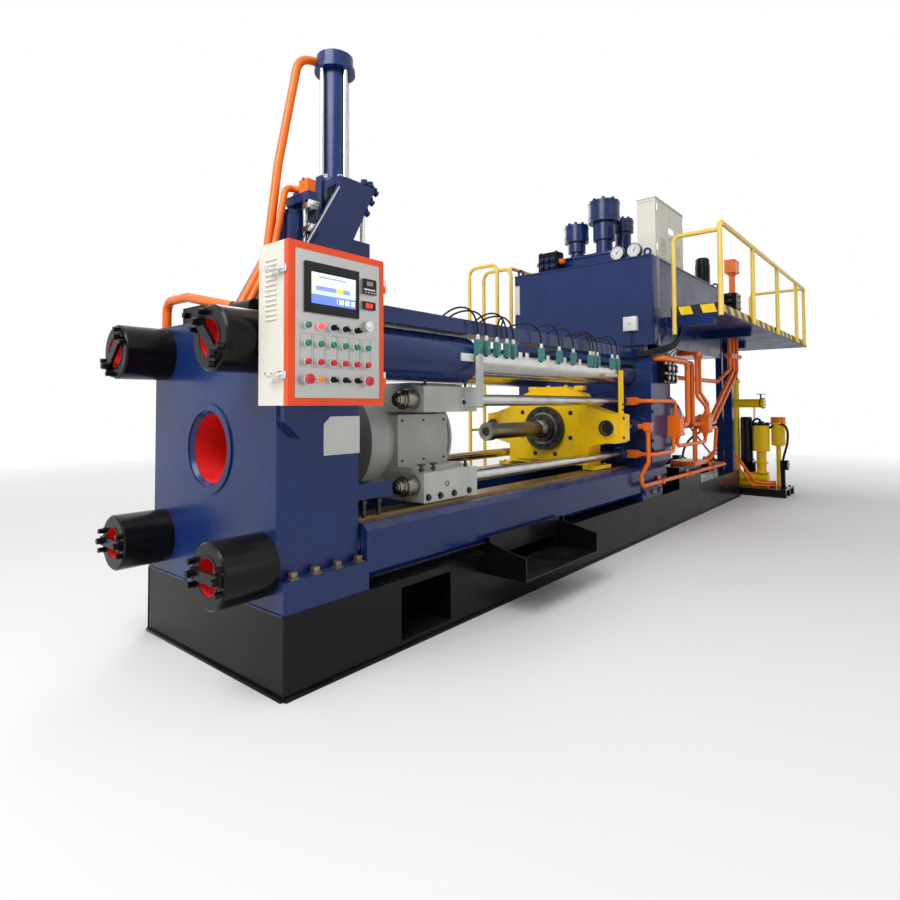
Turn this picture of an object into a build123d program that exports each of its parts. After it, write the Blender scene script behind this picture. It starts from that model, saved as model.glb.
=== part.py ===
from build123d import *
import os

os.makedirs("parts", exist_ok=True)

# Frame: +X runs along the press axis from the profile exit to the pumps, +Z is up,
# the operator stands on the -Y side, and the origin is the base's centre on the floor.

# Base
BASE_HALF_LENGTH = 3500.0
BASE_HALF_WIDTH = 620.0
BASE_HEIGHT = 340.0
BASE_BEAM_WIDTH = 250.0
BASE_POCKET = 230.0
BASE_FLANGE_OUT = 16.0

# Press axis and tie rods
AXIS_Z = 1000.0
ROD_Y = 460.0
ROD_LOW_Z = 530.0
ROD_HIGH_Z = 1475.0
ROD_R = 95.0
ROD_BORE_R = 99.0
NUT_R = 135.0
NUT_FRONT_X = -3744.0

# Front platen, which holds the die
FRONT_X0 = -3500.0
FRONT_X1 = -3050.0
FRONT_HALF_WIDTH = 560.0
FRONT_TOP_Z = 1620.0
FOOT_HALF_WIDTH = 615.0
FOOT_TOP_Z = 460.0
EXIT_R = 166.0

# Die holder behind the front platen
DIE_X1 = -2845.0
DIE_HALF_WIDTH = 300.0
DIE_BORE_R = 90.0

# Rear platen and the cylinders that it carries
REAR_X0 = 270.0
REAR_X1 = 750.0
REAR_HALF_WIDTH = 700.0
REAR_FOOT_HALF_WIDTH = 610.0
REAR_TOP_Z = 1690.0
MAIN_R = 370.0
MAIN_BORE_R = 236.0
MAIN_RAM_R = 230.0
MAIN_END_X = 2150.0
SIDE_Y = 570.0
SIDE_Z = 1010.0
SIDE_R = 62.0
SIDE_ROD_R = 34.0
SIDE_END_X = 2020.0

# Container and its shifting cylinders
SHIFT_Y = 450.0
SHIFT_Z_OFFSET = 235.0
SHIFT_ROD_R = 37.0
SHIFT_R = 72.0
SHIFT_HEAD_X = 130.0
SHIFT_END_X = 830.0
CONT_X0 = -2735.0
CONT_X1 = -2040.0
CONT_FLANGE_R = 315.0
CONT_BODY_R = 285.0
CONT_BORE_R = 80.0
LUG_X0 = -2555.0
LUG_X1 = -2080.0
LUG_OUT_Y = 530.0

# Crosshead and stem
CROSS_X0 = -380.0
CROSS_X1 = -130.0
CROSS_HALF_SPAN = 664.0
STEM_TIP_X = -1265.0
STEM_R = 62.0
DUMMY_R = 69.0
RAM_END_X = 1900.0

# Shear
SHEAR_X = -2740.0
SHEAR_PLATE_Y = 200.0
SHEAR_PLATE_T = 30.0
SHEAR_DECK_Z = 2415.0
SHEAR_TUBE_R = 66.0
SHEAR_BORE_R = 46.0
SHEAR_ROD_R = 30.0
SHEAR_TOP_Z = 3172.0
PISTON_TOP_Z = 3140.0
BLADE_X0 = -2830.0
BLADE_X1 = -2755.0
BLADE_TIP_Z = 1490.0
BLOCK_Z0 = 1935.0
BLOCK_Z1 = 2135.0

# Oil tank and platform
TANK_X0 = 250.0
TANK_X1 = 2400.0
TANK_HALF_WIDTH = 720.0
TANK_Z0 = 1740.0
TANK_Z1 = 2540.0
TANK_WALL = 12.0
DECK_Z = 2005.0
DECK_X0 = 600.0
DECK_X1 = 4690.0
DECK_Y = 1240.0
RAIL_TOP_Z = 2830.0
RAIL_R = 22.0
RAIL_Y = 1217.0
HATCH_TOP_Z = 2700.0

# Control panel
PANEL_X0 = -3612.0
PANEL_X1 = -3114.0
PANEL_Z0 = 1203.0
PANEL_Z1 = 1842.0
PANEL_FRONT_Y = -800.0
PANEL_BACK_Y = -602.0
DOOR_T = 26.0
HINGE_X = -3108.0
PANEL_PLATE_T = 3.0
BUTTON_X0 = -3532.0
BUTTON_PITCH = 62.0
KNOB_Z = 1540.0

# Pipework on the near side
PIPE_R = 18.0
BIG_PIPE_R = 24.0
DECK_PIPE_R = 22.0
THIN_PIPE_R = 12.0
SMALL_PIPE_R = 15.0


def span(x0, x1, y0, y1, z0, z1):
    """A box between two corners."""
    size = (x1 - x0, y1 - y0, z1 - z0)
    middle = ((x0 + x1) / 2, (y0 + y1) / 2, (z0 + z1) / 2)
    return Pos(*middle) * Box(*size)


def along_x(radius, x0, x1, y=0.0, z=AXIS_Z):
    """A round bar along the press axis."""
    return Pos((x0 + x1) / 2, y, z) * Rot(0, 90, 0) * Cylinder(radius, x1 - x0)


def along_y(radius, y0, y1, x, z):
    """A round bar across the press."""
    return Pos(x, (y0 + y1) / 2, z) * Rot(90, 0, 0) * Cylinder(radius, y1 - y0)


def along_z(radius, z0, z1, x, y):
    """An upright round bar."""
    return Pos(x, y, (z0 + z1) / 2) * Cylinder(radius, z1 - z0)


def plate_xz(points, y0, y1):
    """A flat plate whose outline lies in the XZ plane."""
    face = make_face(Polyline(*[(x, y0, z) for x, z in points], close=True))
    return extrude(face, amount=y1 - y0, dir=(0, 1, 0))


def mirrored(*solids):
    """The solids and their mirror images across the press axis."""
    return list(solids) + [mirror(item, about=Plane.XZ) for item in solids]


def plate_yz(points, x0, x1):
    """A flat plate whose outline lies in the YZ plane."""
    face = make_face(Polyline(*[(x0, y, z) for y, z in points], close=True))
    return extrude(face, amount=x1 - x0, dir=(1, 0, 0))


def pipe(points, radius, bend=None):
    """A pipe of straight runs joined by tangent bends."""
    bend = bend or 2.6 * radius
    path = FilletPolyline(*points, radius=bend) if len(points) > 2 else Line(*points)
    start = Plane(origin=path @ 0, z_dir=path % 0)
    return sweep(start * Circle(radius), path=path)


def ring_x(outer, inner, x0, x1, y=0.0, z=AXIS_Z):
    """A ring along the press axis."""
    return along_x(outer, x0, x1, y, z) - along_x(inner, x0 - 1, x1 + 1, y, z)


def ring_z(outer, inner, z0, z1, x, y):
    """An upright ring."""
    return along_z(outer, z0, z1, x, y) - along_z(inner, z0 - 1, z1 + 1, x, y)


def save(name, *solids):
    """Write the solids of one node."""
    shapes = []
    for item in solids:
        shapes += list(item.solids())
    shape = shapes[0] if len(shapes) == 1 else Compound(children=shapes)
    export_step(shape, f"parts/{name}.step")


def tie_rod_places():
    return [(y, z) for y in (-ROD_Y, ROD_Y) for z in (ROD_LOW_Z, ROD_HIGH_Z)]


def shift_places():
    return [(y, AXIS_Z + dz) for y in (-SHIFT_Y, SHIFT_Y) for dz in (-SHIFT_Z_OFFSET, SHIFT_Z_OFFSET)]


def base_beam(side):
    """One side beam of the base, with a floor flange on its outer edge."""
    outer = side * BASE_HALF_WIDTH
    inner = side * (BASE_HALF_WIDTH - BASE_BEAM_WIDTH)
    low, high = min(outer, inner), max(outer, inner)
    beam = span(-BASE_HALF_LENGTH, BASE_HALF_LENGTH, low, high, 0, BASE_HEIGHT)
    foot_low, foot_high = sorted((outer, outer + side * BASE_FLANGE_OUT))
    return beam + span(-BASE_HALF_LENGTH, BASE_HALF_LENGTH, foot_low, foot_high, 0, 12)


def base_parts():
    near = base_beam(-1)
    for x0, x1, z0, z1 in ((-2820, -2440, 40, 300), (-2000, -1360, 235, 310)):
        near -= span(x0, x1, -BASE_HALF_WIDTH - 1, -BASE_HALF_WIDTH + BASE_POCKET, z0, z1)
    save("base_near_beam", near)
    save("base_far_beam", base_beam(1))
    inner = BASE_HALF_WIDTH - BASE_BEAM_WIDTH
    members = []
    for x, half in ((-3400, 100), (-2900, 90), (-1700, 90), (0, 120), (1300, 90), (2400, 90), (3420, 80)):
        box = span(x - half, x + half, -inner, inner, 0, BASE_HEIGHT)
        box -= span(x - half + 16, x + half - 16, -inner, inner, 16, BASE_HEIGHT - 16)
        members.append(box)
    save("base_cross_members", *members)
    wall = -BASE_HALF_WIDTH
    side = [(wall, 215), (-900, 215), (-900, 345), (wall - 30, 400), (wall - 30, 430), (wall, 430)]
    tray = span(-2120, -1240, -900, wall, 215, 227)
    tray += span(-2120, -1240, wall - 12, wall, 215, 430)
    tray += plate_yz(side, -2120, -2110) + plate_yz(side, -1250, -1240)
    tray -= span(-2000, -1360, wall - 13, wall + 1, 235, 310)
    save("base_step_tray", tray)


def front_platen():
    block = span(FRONT_X0, FRONT_X1, -FRONT_HALF_WIDTH, FRONT_HALF_WIDTH, FOOT_TOP_Z, FRONT_TOP_Z)
    block = chamfer(block.edges().filter_by(Axis.X), 12)
    foot = span(FRONT_X0, FRONT_X1 + 20, -FOOT_HALF_WIDTH, FOOT_HALF_WIDTH, BASE_HEIGHT, FOOT_TOP_Z + 14)
    platen = block + foot
    platen -= along_x(EXIT_R, FRONT_X0 - 1, FRONT_X1 + 21)
    platen -= Pos(FRONT_X0 + 8, 0, AXIS_Z) * Rot(0, 90, 0) * Cone(EXIT_R + 16, EXIT_R, 18)
    platen += ring_x(EXIT_R + 50, EXIT_R + 17, FRONT_X0 - 8, FRONT_X0)
    for y, z in tie_rod_places():
        platen -= along_x(ROD_BORE_R, FRONT_X0 - 1, FRONT_X1 + 21, y, z)
    for stop in mirrored(span(FRONT_X1, -2822, -FRONT_HALF_WIDTH, -480, 752, 828)):
        platen += stop
    save("front_platen", platen)


def tie_rods():
    rods, nuts, keepers = [], [], []
    tilt = {(-1, 0): 90, (1, 0): 90, (-1, 1): -45, (1, 1): 45}
    for y, z in tie_rod_places():
        rods.append(along_x(ROD_R, NUT_FRONT_X + 90, REAR_X1 + 190, y, z))
        nut = along_x(NUT_R, NUT_FRONT_X, FRONT_X0, y, z)
        nut = chamfer(nut.edges().group_by(Axis.X)[0], 8)
        nut -= along_x(ROD_BORE_R, NUT_FRONT_X + 60, FRONT_X0 + 1, y, z)
        nut -= along_x(76, NUT_FRONT_X - 1, NUT_FRONT_X + 61, y, z)
        nuts.append(nut)
        nuts.append(ring_x(NUT_R, ROD_BORE_R, REAR_X1, REAR_X1 + 170, y, z))
        angle = tilt[(1 if y > 0 else -1, 1 if z > AXIS_Z else 0)]
        keepers.append(Pos(NUT_FRONT_X - 8, y, z) * Rot(angle, 0, 0) * Box(16, 44, 236))
    save("tie_rods", *rods)
    save("tie_rod_nuts", *nuts)
    save("nut_keeper_bars", *keepers)


def rod_covers():
    sleeves = []
    for y in (-ROD_Y, ROD_Y):
        sleeve = along_x(138, FRONT_X1, -2130, y, ROD_HIGH_Z)
        sleeve = fillet(sleeve.edges().group_by(Axis.X)[-1], 14)
        sleeves.append(sleeve - along_x(ROD_BORE_R, FRONT_X1 - 1, -2129, y, ROD_HIGH_Z))
    save("upper_rod_sleeves", *sleeves)
    beams, strips = [], []
    for side in (-1, 1):
        y0, y1 = sorted((side * 330, side * 600))
        beam = span(FRONT_X1 + 20, REAR_X0, y0, y1, 385, 640)
        beam = chamfer(beam.edges().filter_by(Axis.X), 30)
        beams.append(beam - along_x(ROD_BORE_R, FRONT_X1, REAR_X0 + 1, side * ROD_Y, ROD_LOW_Z))
        s0, s1 = sorted((side * 365, side * 500))
        strips.append(span(FRONT_X1 + 25, REAR_X0 - 5, s0, s1, 640, 656))
    save("lower_guide_beams", *beams)
    save("guide_strips", *strips)
    trough = span(FRONT_X1 - 60, REAR_X0, -575, -415, FRONT_TOP_Z, FRONT_TOP_Z + 82)
    trough -= span(FRONT_X1 - 50, REAR_X0 - 10, -567, -423, FRONT_TOP_Z + 8, FRONT_TOP_Z + 83)
    save("cable_trough", trough)


def die_holder():
    holder = span(FRONT_X1 + 21, DIE_X1, -DIE_HALF_WIDTH, DIE_HALF_WIDTH, AXIS_Z - 290, AXIS_Z + 290)
    holder += span(FRONT_X1, DIE_X1, -DIE_HALF_WIDTH, DIE_HALF_WIDTH, AXIS_Z - 270, AXIS_Z + 270)
    holder -= along_x(DIE_BORE_R, FRONT_X1 - 1, DIE_X1 + 1)
    save("die_holder", holder)


def shear_frame():
    deck_top = SHEAR_DECK_Z + 40
    outline = [(-3317, FRONT_TOP_Z), (-3046, FRONT_TOP_Z), (-2811, 2060), (-2612, deck_top),
               (-2876, deck_top), (-2880, 2390), (-3080, 2054)]
    reach = SHEAR_PLATE_Y + SHEAR_PLATE_T / 2
    near, far = mirrored(plate_xz(outline, -reach, SHEAR_PLATE_T - reach))
    inside = reach - SHEAR_PLATE_T
    deck = span(-2876, -2625, -inside, inside, SHEAR_DECK_Z, deck_top)
    deck -= along_z(SHEAR_ROD_R + 4, SHEAR_DECK_Z - 1, SHEAR_DECK_Z + 41, SHEAR_X, 0)
    web = plate_xz([(-3270, 1660), (-3250, 1652), (-3100, 1930), (-3118, 1942)], -185, 185)
    stop = span(-2888, -2876, -69, -18, 2200, 2490)
    save("shear_bracket", near + far + web + deck + stop)

    flange = SHEAR_TOP_Z - 25
    tube = along_z(115, deck_top, deck_top + 40, SHEAR_X, 0)
    tube += along_z(SHEAR_TUBE_R, deck_top, SHEAR_TOP_Z, SHEAR_X, 0)
    tube += along_z(118, flange, SHEAR_TOP_Z, SHEAR_X, 0) + along_z(106, SHEAR_TOP_Z, SHEAR_TOP_Z + 68, SHEAR_X, 0)
    tube -= along_z(SHEAR_BORE_R, deck_top - 1, PISTON_TOP_Z + 5, SHEAR_X, 0)
    save("shear_cylinder", tube)

    rods = [along_z(15, 1340, SHEAR_DECK_Z, -2660, y) for y in (-150, 150)]
    for x, y in ((-92, 0), (92, 0), (0, -92), (0, 92)):
        rods.append(along_z(14, deck_top + 40, flange, SHEAR_X + x, y))
    clamp_rod = along_z(14, 2060, 2300, -3000, -72)
    clamp_rod += span(-3020, -2980, -135, -72, 2135, 2165) + span(-3020, -2980, -135, -72, 2262, 2292)
    save("shear_guide_rods", *rods, clamp_rod)

    body = along_z(82, FRONT_TOP_Z, 2240, -3000, 45) + along_z(70, 2240, 2270, -3000, 45)
    body += along_z(28, 2270, 2300, -3000, 45) + span(-3030, -2970, -140, 60, 2300, 2348)
    save("clamp_cylinder", body)


def shear_slide():
    block = span(BLADE_X0, -2625, -175, 175, BLOCK_Z0, BLOCK_Z1)
    for y in (-150, 150):
        block -= along_z(16, BLOCK_Z0 - 1, BLOCK_Z1 + 1, -2660, y)
    blade = plate_yz([(-150, BLADE_TIP_Z + 60), (0, BLADE_TIP_Z), (150, BLADE_TIP_Z + 60), (150, BLOCK_Z0),
                      (-150, BLOCK_Z0)], BLADE_X0, BLADE_X1)
    save("shear_block", block)
    save("shear_blade", blade)
    rod = along_z(SHEAR_ROD_R, BLOCK_Z1, PISTON_TOP_Z, SHEAR_X, 0)
    rod += along_z(SHEAR_BORE_R - 1, PISTON_TOP_Z - 40, PISTON_TOP_Z, SHEAR_X, 0)
    save("shear_rod", rod)


def rear_platen():
    outline = [(-REAR_HALF_WIDTH, 690), (-REAR_FOOT_HALF_WIDTH, 600), (-REAR_FOOT_HALF_WIDTH, BASE_HEIGHT),
               (REAR_FOOT_HALF_WIDTH, BASE_HEIGHT), (REAR_FOOT_HALF_WIDTH, 600), (REAR_HALF_WIDTH, 690),
               (REAR_HALF_WIDTH, REAR_TOP_Z), (-REAR_HALF_WIDTH, REAR_TOP_Z)]
    platen = plate_yz(outline, REAR_X0, REAR_X1)
    platen -= along_x(MAIN_R + 2, REAR_X0 - 1, REAR_X1 + 1)
    for y, z in tie_rod_places():
        platen -= along_x(ROD_BORE_R, REAR_X0 - 1, REAR_X1 + 1, y, z)
    for y, z in shift_places():
        platen -= along_x(SHIFT_R + 2, REAR_X0 - 1, REAR_X1 + 1, y, z)
    for y in (-SIDE_Y, SIDE_Y):
        platen -= along_x(SIDE_R + 2, REAR_X0 - 1, REAR_X1 + 1, y, SIDE_Z)
    save("rear_platen", platen)


def press_cylinders():
    main = along_x(MAIN_R, REAR_X0 - 40, MAIN_END_X)
    main = chamfer(main.edges().group_by(Axis.X)[-1], 40)
    main += along_x(MAIN_R + 60, REAR_X1, REAR_X1 + 90) + along_x(300, REAR_X0 - 90, REAR_X0 - 40)
    main -= along_x(MAIN_BORE_R, REAR_X0 - 91, MAIN_END_X - 210)
    for y, z in shift_places():
        main -= along_x(SHIFT_R + 8, REAR_X1 - 1, REAR_X1 + 91, y, z)
    save("main_cylinder", main)
    sides = []
    for y in (-SIDE_Y, SIDE_Y):
        barrel = along_x(SIDE_R, REAR_X0 - 160, SIDE_END_X, y, SIDE_Z)
        barrel += along_x(SIDE_R + 32, REAR_X0 - 60, REAR_X0, y, SIDE_Z)
        sides.append(barrel - along_x(SIDE_ROD_R + 2, REAR_X0 - 161, SIDE_END_X - 60, y, SIDE_Z))
    save("side_cylinders", *sides)
    shifts = []
    for y, z in shift_places():
        barrel = along_x(SHIFT_R, SHIFT_HEAD_X, SHIFT_END_X, y, z)
        barrel += along_x(SHIFT_R + 18, REAR_X0 - 50, REAR_X0, y, z)
        shifts.append(barrel - along_x(SHIFT_ROD_R + 2, SHIFT_HEAD_X - 1, SHIFT_END_X - 60, y, z))
    save("container_cylinders", *shifts)


def container():
    body = along_x(CONT_FLANGE_R, CONT_X0, -2600) + along_x(CONT_BODY_R, -2600, -2060)
    body += along_x(300, -2060, CONT_X1)
    for low, high in ((672, 835), (1165, 1310)):
        root = span(LUG_X0 + 15, LUG_X1 - 15, -430, -60, low, high + 20)
        for lug in mirrored(span(LUG_X0, LUG_X1, -LUG_OUT_Y, -60, low, high), root):
            body += lug
    for plate in mirrored(span(LUG_X0 + 20, LUG_X1 - 20, -312, -180, 850, 1150)):
        body += plate
    body -= along_x(CONT_BORE_R, CONT_X0 - 1, CONT_X1 + 1)
    for y, z in shift_places():
        body -= along_x(SHIFT_ROD_R + 1, LUG_X0 - 1, LUG_X1 + 1, y, z)
    save("container_housing", body)
    save("container_rods", *[along_x(SHIFT_ROD_R, LUG_X0 - 130, 420, y, z) for y, z in shift_places()])
    save("container_rod_nuts", *[ring_x(56, SHIFT_ROD_R, LUG_X0 - 85, LUG_X0, y, z) for y, z in shift_places()])
    save("container_shoes", *mirrored(span(-2520, -2130, -500, -380, 661, 672)))
    post = span(-2206, -2170, -650, -620, 1195, 1490) + span(-2206, -2170, -620, -LUG_OUT_Y, 1195, 1290)
    save("container_striker", post)


def crosshead():
    right = [(395, 690), (395, 850), (540, 885), (640, 885), (640, 1126), (540, 1140),
             (400, 1185), (335, 1245)]
    crown = [(400, 1180), (298, 1300), (126, 1365)]
    body = plate_yz(right + [(-y, z) for y, z in reversed(right)], CROSS_X0 + 20, CROSS_X1)
    body += plate_yz(crown + [(-y, z) for y, z in reversed(crown)], CROSS_X0 + 110, CROSS_X1)
    front = [(300, 720), (330, 780), (330, 1150), (250, 1220),
             (-250, 1220), (-330, 1150), (-330, 780), (-300, 720)]
    body += plate_yz(front, CROSS_X0, CROSS_X0 + 20)
    arm = span(-260, CROSS_X1, -CROSS_HALF_SPAN, -640, 900, 1122)
    ear = ring_x(74, 46, CROSS_X0, CROSS_X0 + 20, -SIDE_Y, SIDE_Z)
    shoe = span(CROSS_X0 - 30, CROSS_X1 + 30, -480, -370, 662, 690)
    for item in mirrored(arm, ear, shoe):
        body += item
    striker = span(-242, -204, -647, -618, 1122, 1490)
    save("crosshead", body - striker)
    save("crosshead_striker", striker)
    stem = along_x(STEM_R, STEM_TIP_X + 70, CROSS_X0) + along_x(DUMMY_R, STEM_TIP_X, STEM_TIP_X + 70)
    save("ram_stem", stem)
    ring = along_x(190, CROSS_X0 - 45, CROSS_X0) + along_x(120, CROSS_X0 - 90, CROSS_X0 - 45)
    save("stem_clamp_ring", ring - along_x(STEM_R, CROSS_X0 - 91, CROSS_X0 + 1))
    save("main_ram", along_x(MAIN_RAM_R, CROSS_X1, RAM_END_X))
    save("side_rods", *[along_x(SIDE_ROD_R, CROSS_X1, RAM_END_X, y, SIDE_Z) for y in (-SIDE_Y, SIDE_Y)])


def oil_tank():
    shell = span(TANK_X0, TANK_X1, -TANK_HALF_WIDTH, TANK_HALF_WIDTH, TANK_Z0, TANK_Z1)
    wall = TANK_WALL
    shell -= span(TANK_X0 + wall, TANK_X1 - wall, -TANK_HALF_WIDTH + wall, TANK_HALF_WIDTH - wall,
                  TANK_Z0 + wall, TANK_Z1 + 1)
    for x in (280, 660):
        shell += span(x, x + 80, -640, 640, REAR_TOP_Z, TANK_Z0)
    save("oil_tank_shell", shell)
    lid = TANK_Z1 + 12
    cover = span(TANK_X0 - 8, TANK_X1 + 8, -TANK_HALF_WIDTH - 8, TANK_HALF_WIDTH + 8, TANK_Z1, lid)
    for x in (290, 2360):
        for eye in mirrored(ring_x(38, 20, x - 8, x + 8, -677, lid + 34)):
            cover += eye
    save("oil_tank_lid", cover)
    save("tank_hatch", span(430, 1300, -290, 360, lid, HATCH_TOP_Z))
    cylinders = []
    for x, y, cap_r, body_r, cap_z, top in ((700, -71, 157, 110, 3063, 3277), (700, 241, 125, 92, 2910, 3087),
                                            (1120, -90, 110, 85, 3050, 3185)):
        neck_z = (HATCH_TOP_Z + cap_z) / 2
        cylinders.append(along_z(cap_r, cap_z, top, x, y) + along_z(body_r, neck_z, cap_z, x, y)
                         + along_z(body_r * 0.75, HATCH_TOP_Z, neck_z, x, y))
    save("prefill_cylinders", *cylinders)
    save("electrical_cabinet", span(430, 1175, -702, -530, lid, 3120))
    front = TANK_X0
    strip = span(front - 12, front, 666, 716, 2143, 2445)
    junction = span(front - 45, front, -599, -474, 1873, 2001)
    dials = [along_x(62, front + 10, front + 50, y, lid + 62) for y in (-562, -400)]
    save("tank_gauges", strip, junction, *dials)


def end_rail(side, end_x, top):
    """The posts of one handrail, its square end corner and the rail across the end."""
    y = side * RAIL_Y
    posts = [along_z(RAIL_R, top, RAIL_TOP_Z, x, y) for x in (1750, 2920, 4090, end_x)]
    corner = Pos(end_x, y, RAIL_TOP_Z) * Sphere(RAIL_R)
    across = pipe([(end_x, y, RAIL_TOP_Z), (end_x, side * 530, RAIL_TOP_Z), (end_x, side * 530, top)], RAIL_R, 60)
    return posts + [corner, across]


def platform():
    wall = TANK_HALF_WIDTH
    top = DECK_Z + 14
    deck = span(TANK_X1 + 10, DECK_X1, -DECK_Y, DECK_Y, DECK_Z, top)
    for strip in mirrored(span(DECK_X0, TANK_X1 + 10, -DECK_Y, -wall, DECK_Z, top)):
        deck += strip
    for x in (DECK_X0, 1900):
        for beam in mirrored(span(x, x + 80, -1150, -wall, DECK_Z - 80, DECK_Z)):
            deck += beam
    deck += span(3290, 3370, -760, 760, DECK_Z - 80, DECK_Z)
    deck += span(DECK_X0, 925, DECK_Y, 1597.5, DECK_Z, top)
    for x in (2620, 2780, 2940):
        deck -= along_z(DECK_PIPE_R + 1, DECK_Z - 1, top + 1, x, -750)
    save("service_platform", deck)
    posts = mirrored(span(3280, 3380, -600, -500, BASE_HEIGHT, DECK_Z - 80),
                     span(3293, 3368, -478, -403, BASE_HEIGHT, DECK_Z - 80))
    save("platform_columns", *posts)

    front_x = DECK_X0 - RAIL_R - 0.5
    end_x = 4650
    rail = pipe([(front_x, -RAIL_Y, DECK_Z - 15), (front_x, -RAIL_Y, RAIL_TOP_Z), (end_x, -RAIL_Y, RAIL_TOP_Z)],
                RAIL_R, 60)
    rail += pipe([(front_x, -810, 1850), (front_x, -810, 2755), (front_x, -RAIL_Y, 2755)], RAIL_R * 0.95, 60)
    for item in end_rail(-1, end_x, top):
        rail += item
    save("near_handrail", rail)

    rail = along_x(RAIL_R, 905, end_x, RAIL_Y, RAIL_TOP_Z)
    for item in end_rail(1, end_x, top):
        rail += item
    for x in (620, 905):
        rail += pipe([(x, 1620, 150), (x, 1620, RAIL_TOP_Z), (x, RAIL_Y, RAIL_TOP_Z), (x, RAIL_Y, top)],
                     RAIL_R, 90)
    for step in range(6):
        rail += along_x(RAIL_R * 0.7, 620, 905, 1620, 350 + 280 * step)
    save("far_handrail", rail)

    near = span(DECK_X0 + 8, DECK_X1 - 12, -1194, -1188, top, top + 92)
    front = span(DECK_X0 + 2, DECK_X0 + 8, -1194, -770, top, top + 92)
    end = span(DECK_X1 - 12, DECK_X1 - 6, -1194, 1194, top, top + 92)
    far = span(930, DECK_X1 - 12, 1188, 1194, top, top + 92)
    save("toe_boards", near + front + end + far)


def control_panel():
    box = span(PANEL_X0, PANEL_X1, PANEL_FRONT_Y + DOOR_T + 2, PANEL_BACK_Y, PANEL_Z0, PANEL_Z1)
    box -= span(PANEL_X0 + 3, PANEL_X1 - 3, PANEL_FRONT_Y, PANEL_BACK_Y - 3, PANEL_Z0 + 3, PANEL_Z1 - 3)
    for z in (1290, 1700):
        box += along_z(5.5, z + 31, z + 60, HINGE_X, PANEL_FRONT_Y)
        box += span(PANEL_X1, HINGE_X, PANEL_FRONT_Y + 5, PANEL_FRONT_Y + 50, z + 31, z + 60)
    save("control_panel_box", box)
    bracket = span(-3480, -3160, PANEL_BACK_Y, -FRONT_HALF_WIDTH, 1250, 1560)
    bracket += plate_xz([(-3490, 1250), (-3490, 1135), (-3410, 1064), (-3250, 1160), (-3180, 1250)],
                        PANEL_BACK_Y, -FRONT_HALF_WIDTH)
    save("panel_bracket", bracket)
    door = span(PANEL_X0, PANEL_X1, PANEL_FRONT_Y, PANEL_FRONT_Y + DOOR_T, PANEL_Z0, PANEL_Z1)
    for z in (1290, 1700):
        door += along_z(6, z, z + 30, HINGE_X, PANEL_FRONT_Y)
        door += span(PANEL_X1, HINGE_X, PANEL_FRONT_Y, PANEL_FRONT_Y + 8, z, z + 30)
    save("panel_door", door)
    face_y = PANEL_FRONT_Y - PANEL_PLATE_T
    face = span(PANEL_X0 + 30, PANEL_X1 - 30, face_y, PANEL_FRONT_Y, PANEL_Z0 + 30, PANEL_Z1 - 30)
    for x0, x1, z0, z1 in ((-3539, -3268, 1567, 1768), (-3247, -3170, 1681, 1745), (-3247, -3175, 1614, 1647)):
        face += span(x0, x1, face_y - 8, face_y, z0, z1)
    columns = [BUTTON_X0 + BUTTON_PITCH * index for index in range(6)]
    places = [(x, z) for x in columns for z in (1446, 1374)]
    places += [(x, 1516) for x in columns[:5]] + [(x, 1306) for x in columns[1:5]]
    for x, z in places:
        face += along_y(11, face_y - 20, face_y, x, z)
    for x in (columns[0], columns[5]):
        face += along_y(12, face_y - 22, face_y, x, 1306) + along_y(20, face_y - 34, face_y - 22, x, 1306)
    save("panel_controls", face)
    save("speed_knob", along_y(22, face_y - 26, face_y, columns[5], KNOB_Z))


def switch_rail():
    rail = span(-2330, -210, -612, -600, 1455, 1500)
    for x in (-2060, -1300, -500):
        rail += span(x - 20, x + 20, -600, -ROD_Y - ROD_R - 0.5, 1465, 1490)
    save("limit_switch_rail", rail)
    switches = []
    for x in (-2179, -2095, -1987, -1880, -1807, -1468, -1224, -1017, -745, -694, -624, -350, -253):
        body = span(x - 17, x + 17, -636, -600, 1500, 1586) + along_z(11, 1586, 1604, x, -618)
        switches.append(body)
    save("limit_switches", *switches)


def fittings():
    """Orange manifold blocks and cylinder ports."""
    ports = [span(150, 215, -602, -500, AXIS_Z + dz - 35, AXIS_Z + dz + 35) for dz in (-235, 235)]
    ports = [port - along_x(SHIFT_R + 0.5, 100, 260, -SHIFT_Y, AXIS_Z + dz)
             for port, dz in zip(ports, (-235, 235))]
    side = span(112, 182, -743, -687, SIDE_Z - 35, SIDE_Z + 35) + along_y(24, -690, -600, 147, SIDE_Z)
    side -= along_x(SIDE_R + 0.5, 100, 260, -SIDE_Y, SIDE_Z)
    blocks = [
        span(660, 770, -820, -REAR_HALF_WIDTH, 910, 1100),
        span(1540, 1660, -815, -712, 905, 1100),
        span(1230, 1425, -805, -600, 1700, TANK_Z0),
        span(1480, 1860, -690, -430, 560, 600),
        span(2705, 2895, -810, -690, 2800, 2960),
        span(-3025, -2975, -125, -50, 2348, 2420),
        along_y(30, 450, 476, 335, 2650),
        along_y(30, 210, 235, 335, 2650),
        along_z(88, 955, 1030, 4050, -980),
        span(3930, 4010, -950, -880, 100, 175),
    ]
    clamp = span(2560, 3000, -790, -710, 1760, 1810)
    for x in (2620, 2780, 2940):
        clamp -= along_z(DECK_PIPE_R + 0.3, 1759, 1811, x, -750)
    save("manifold_blocks", *ports, side, *blocks, clamp)


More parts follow.
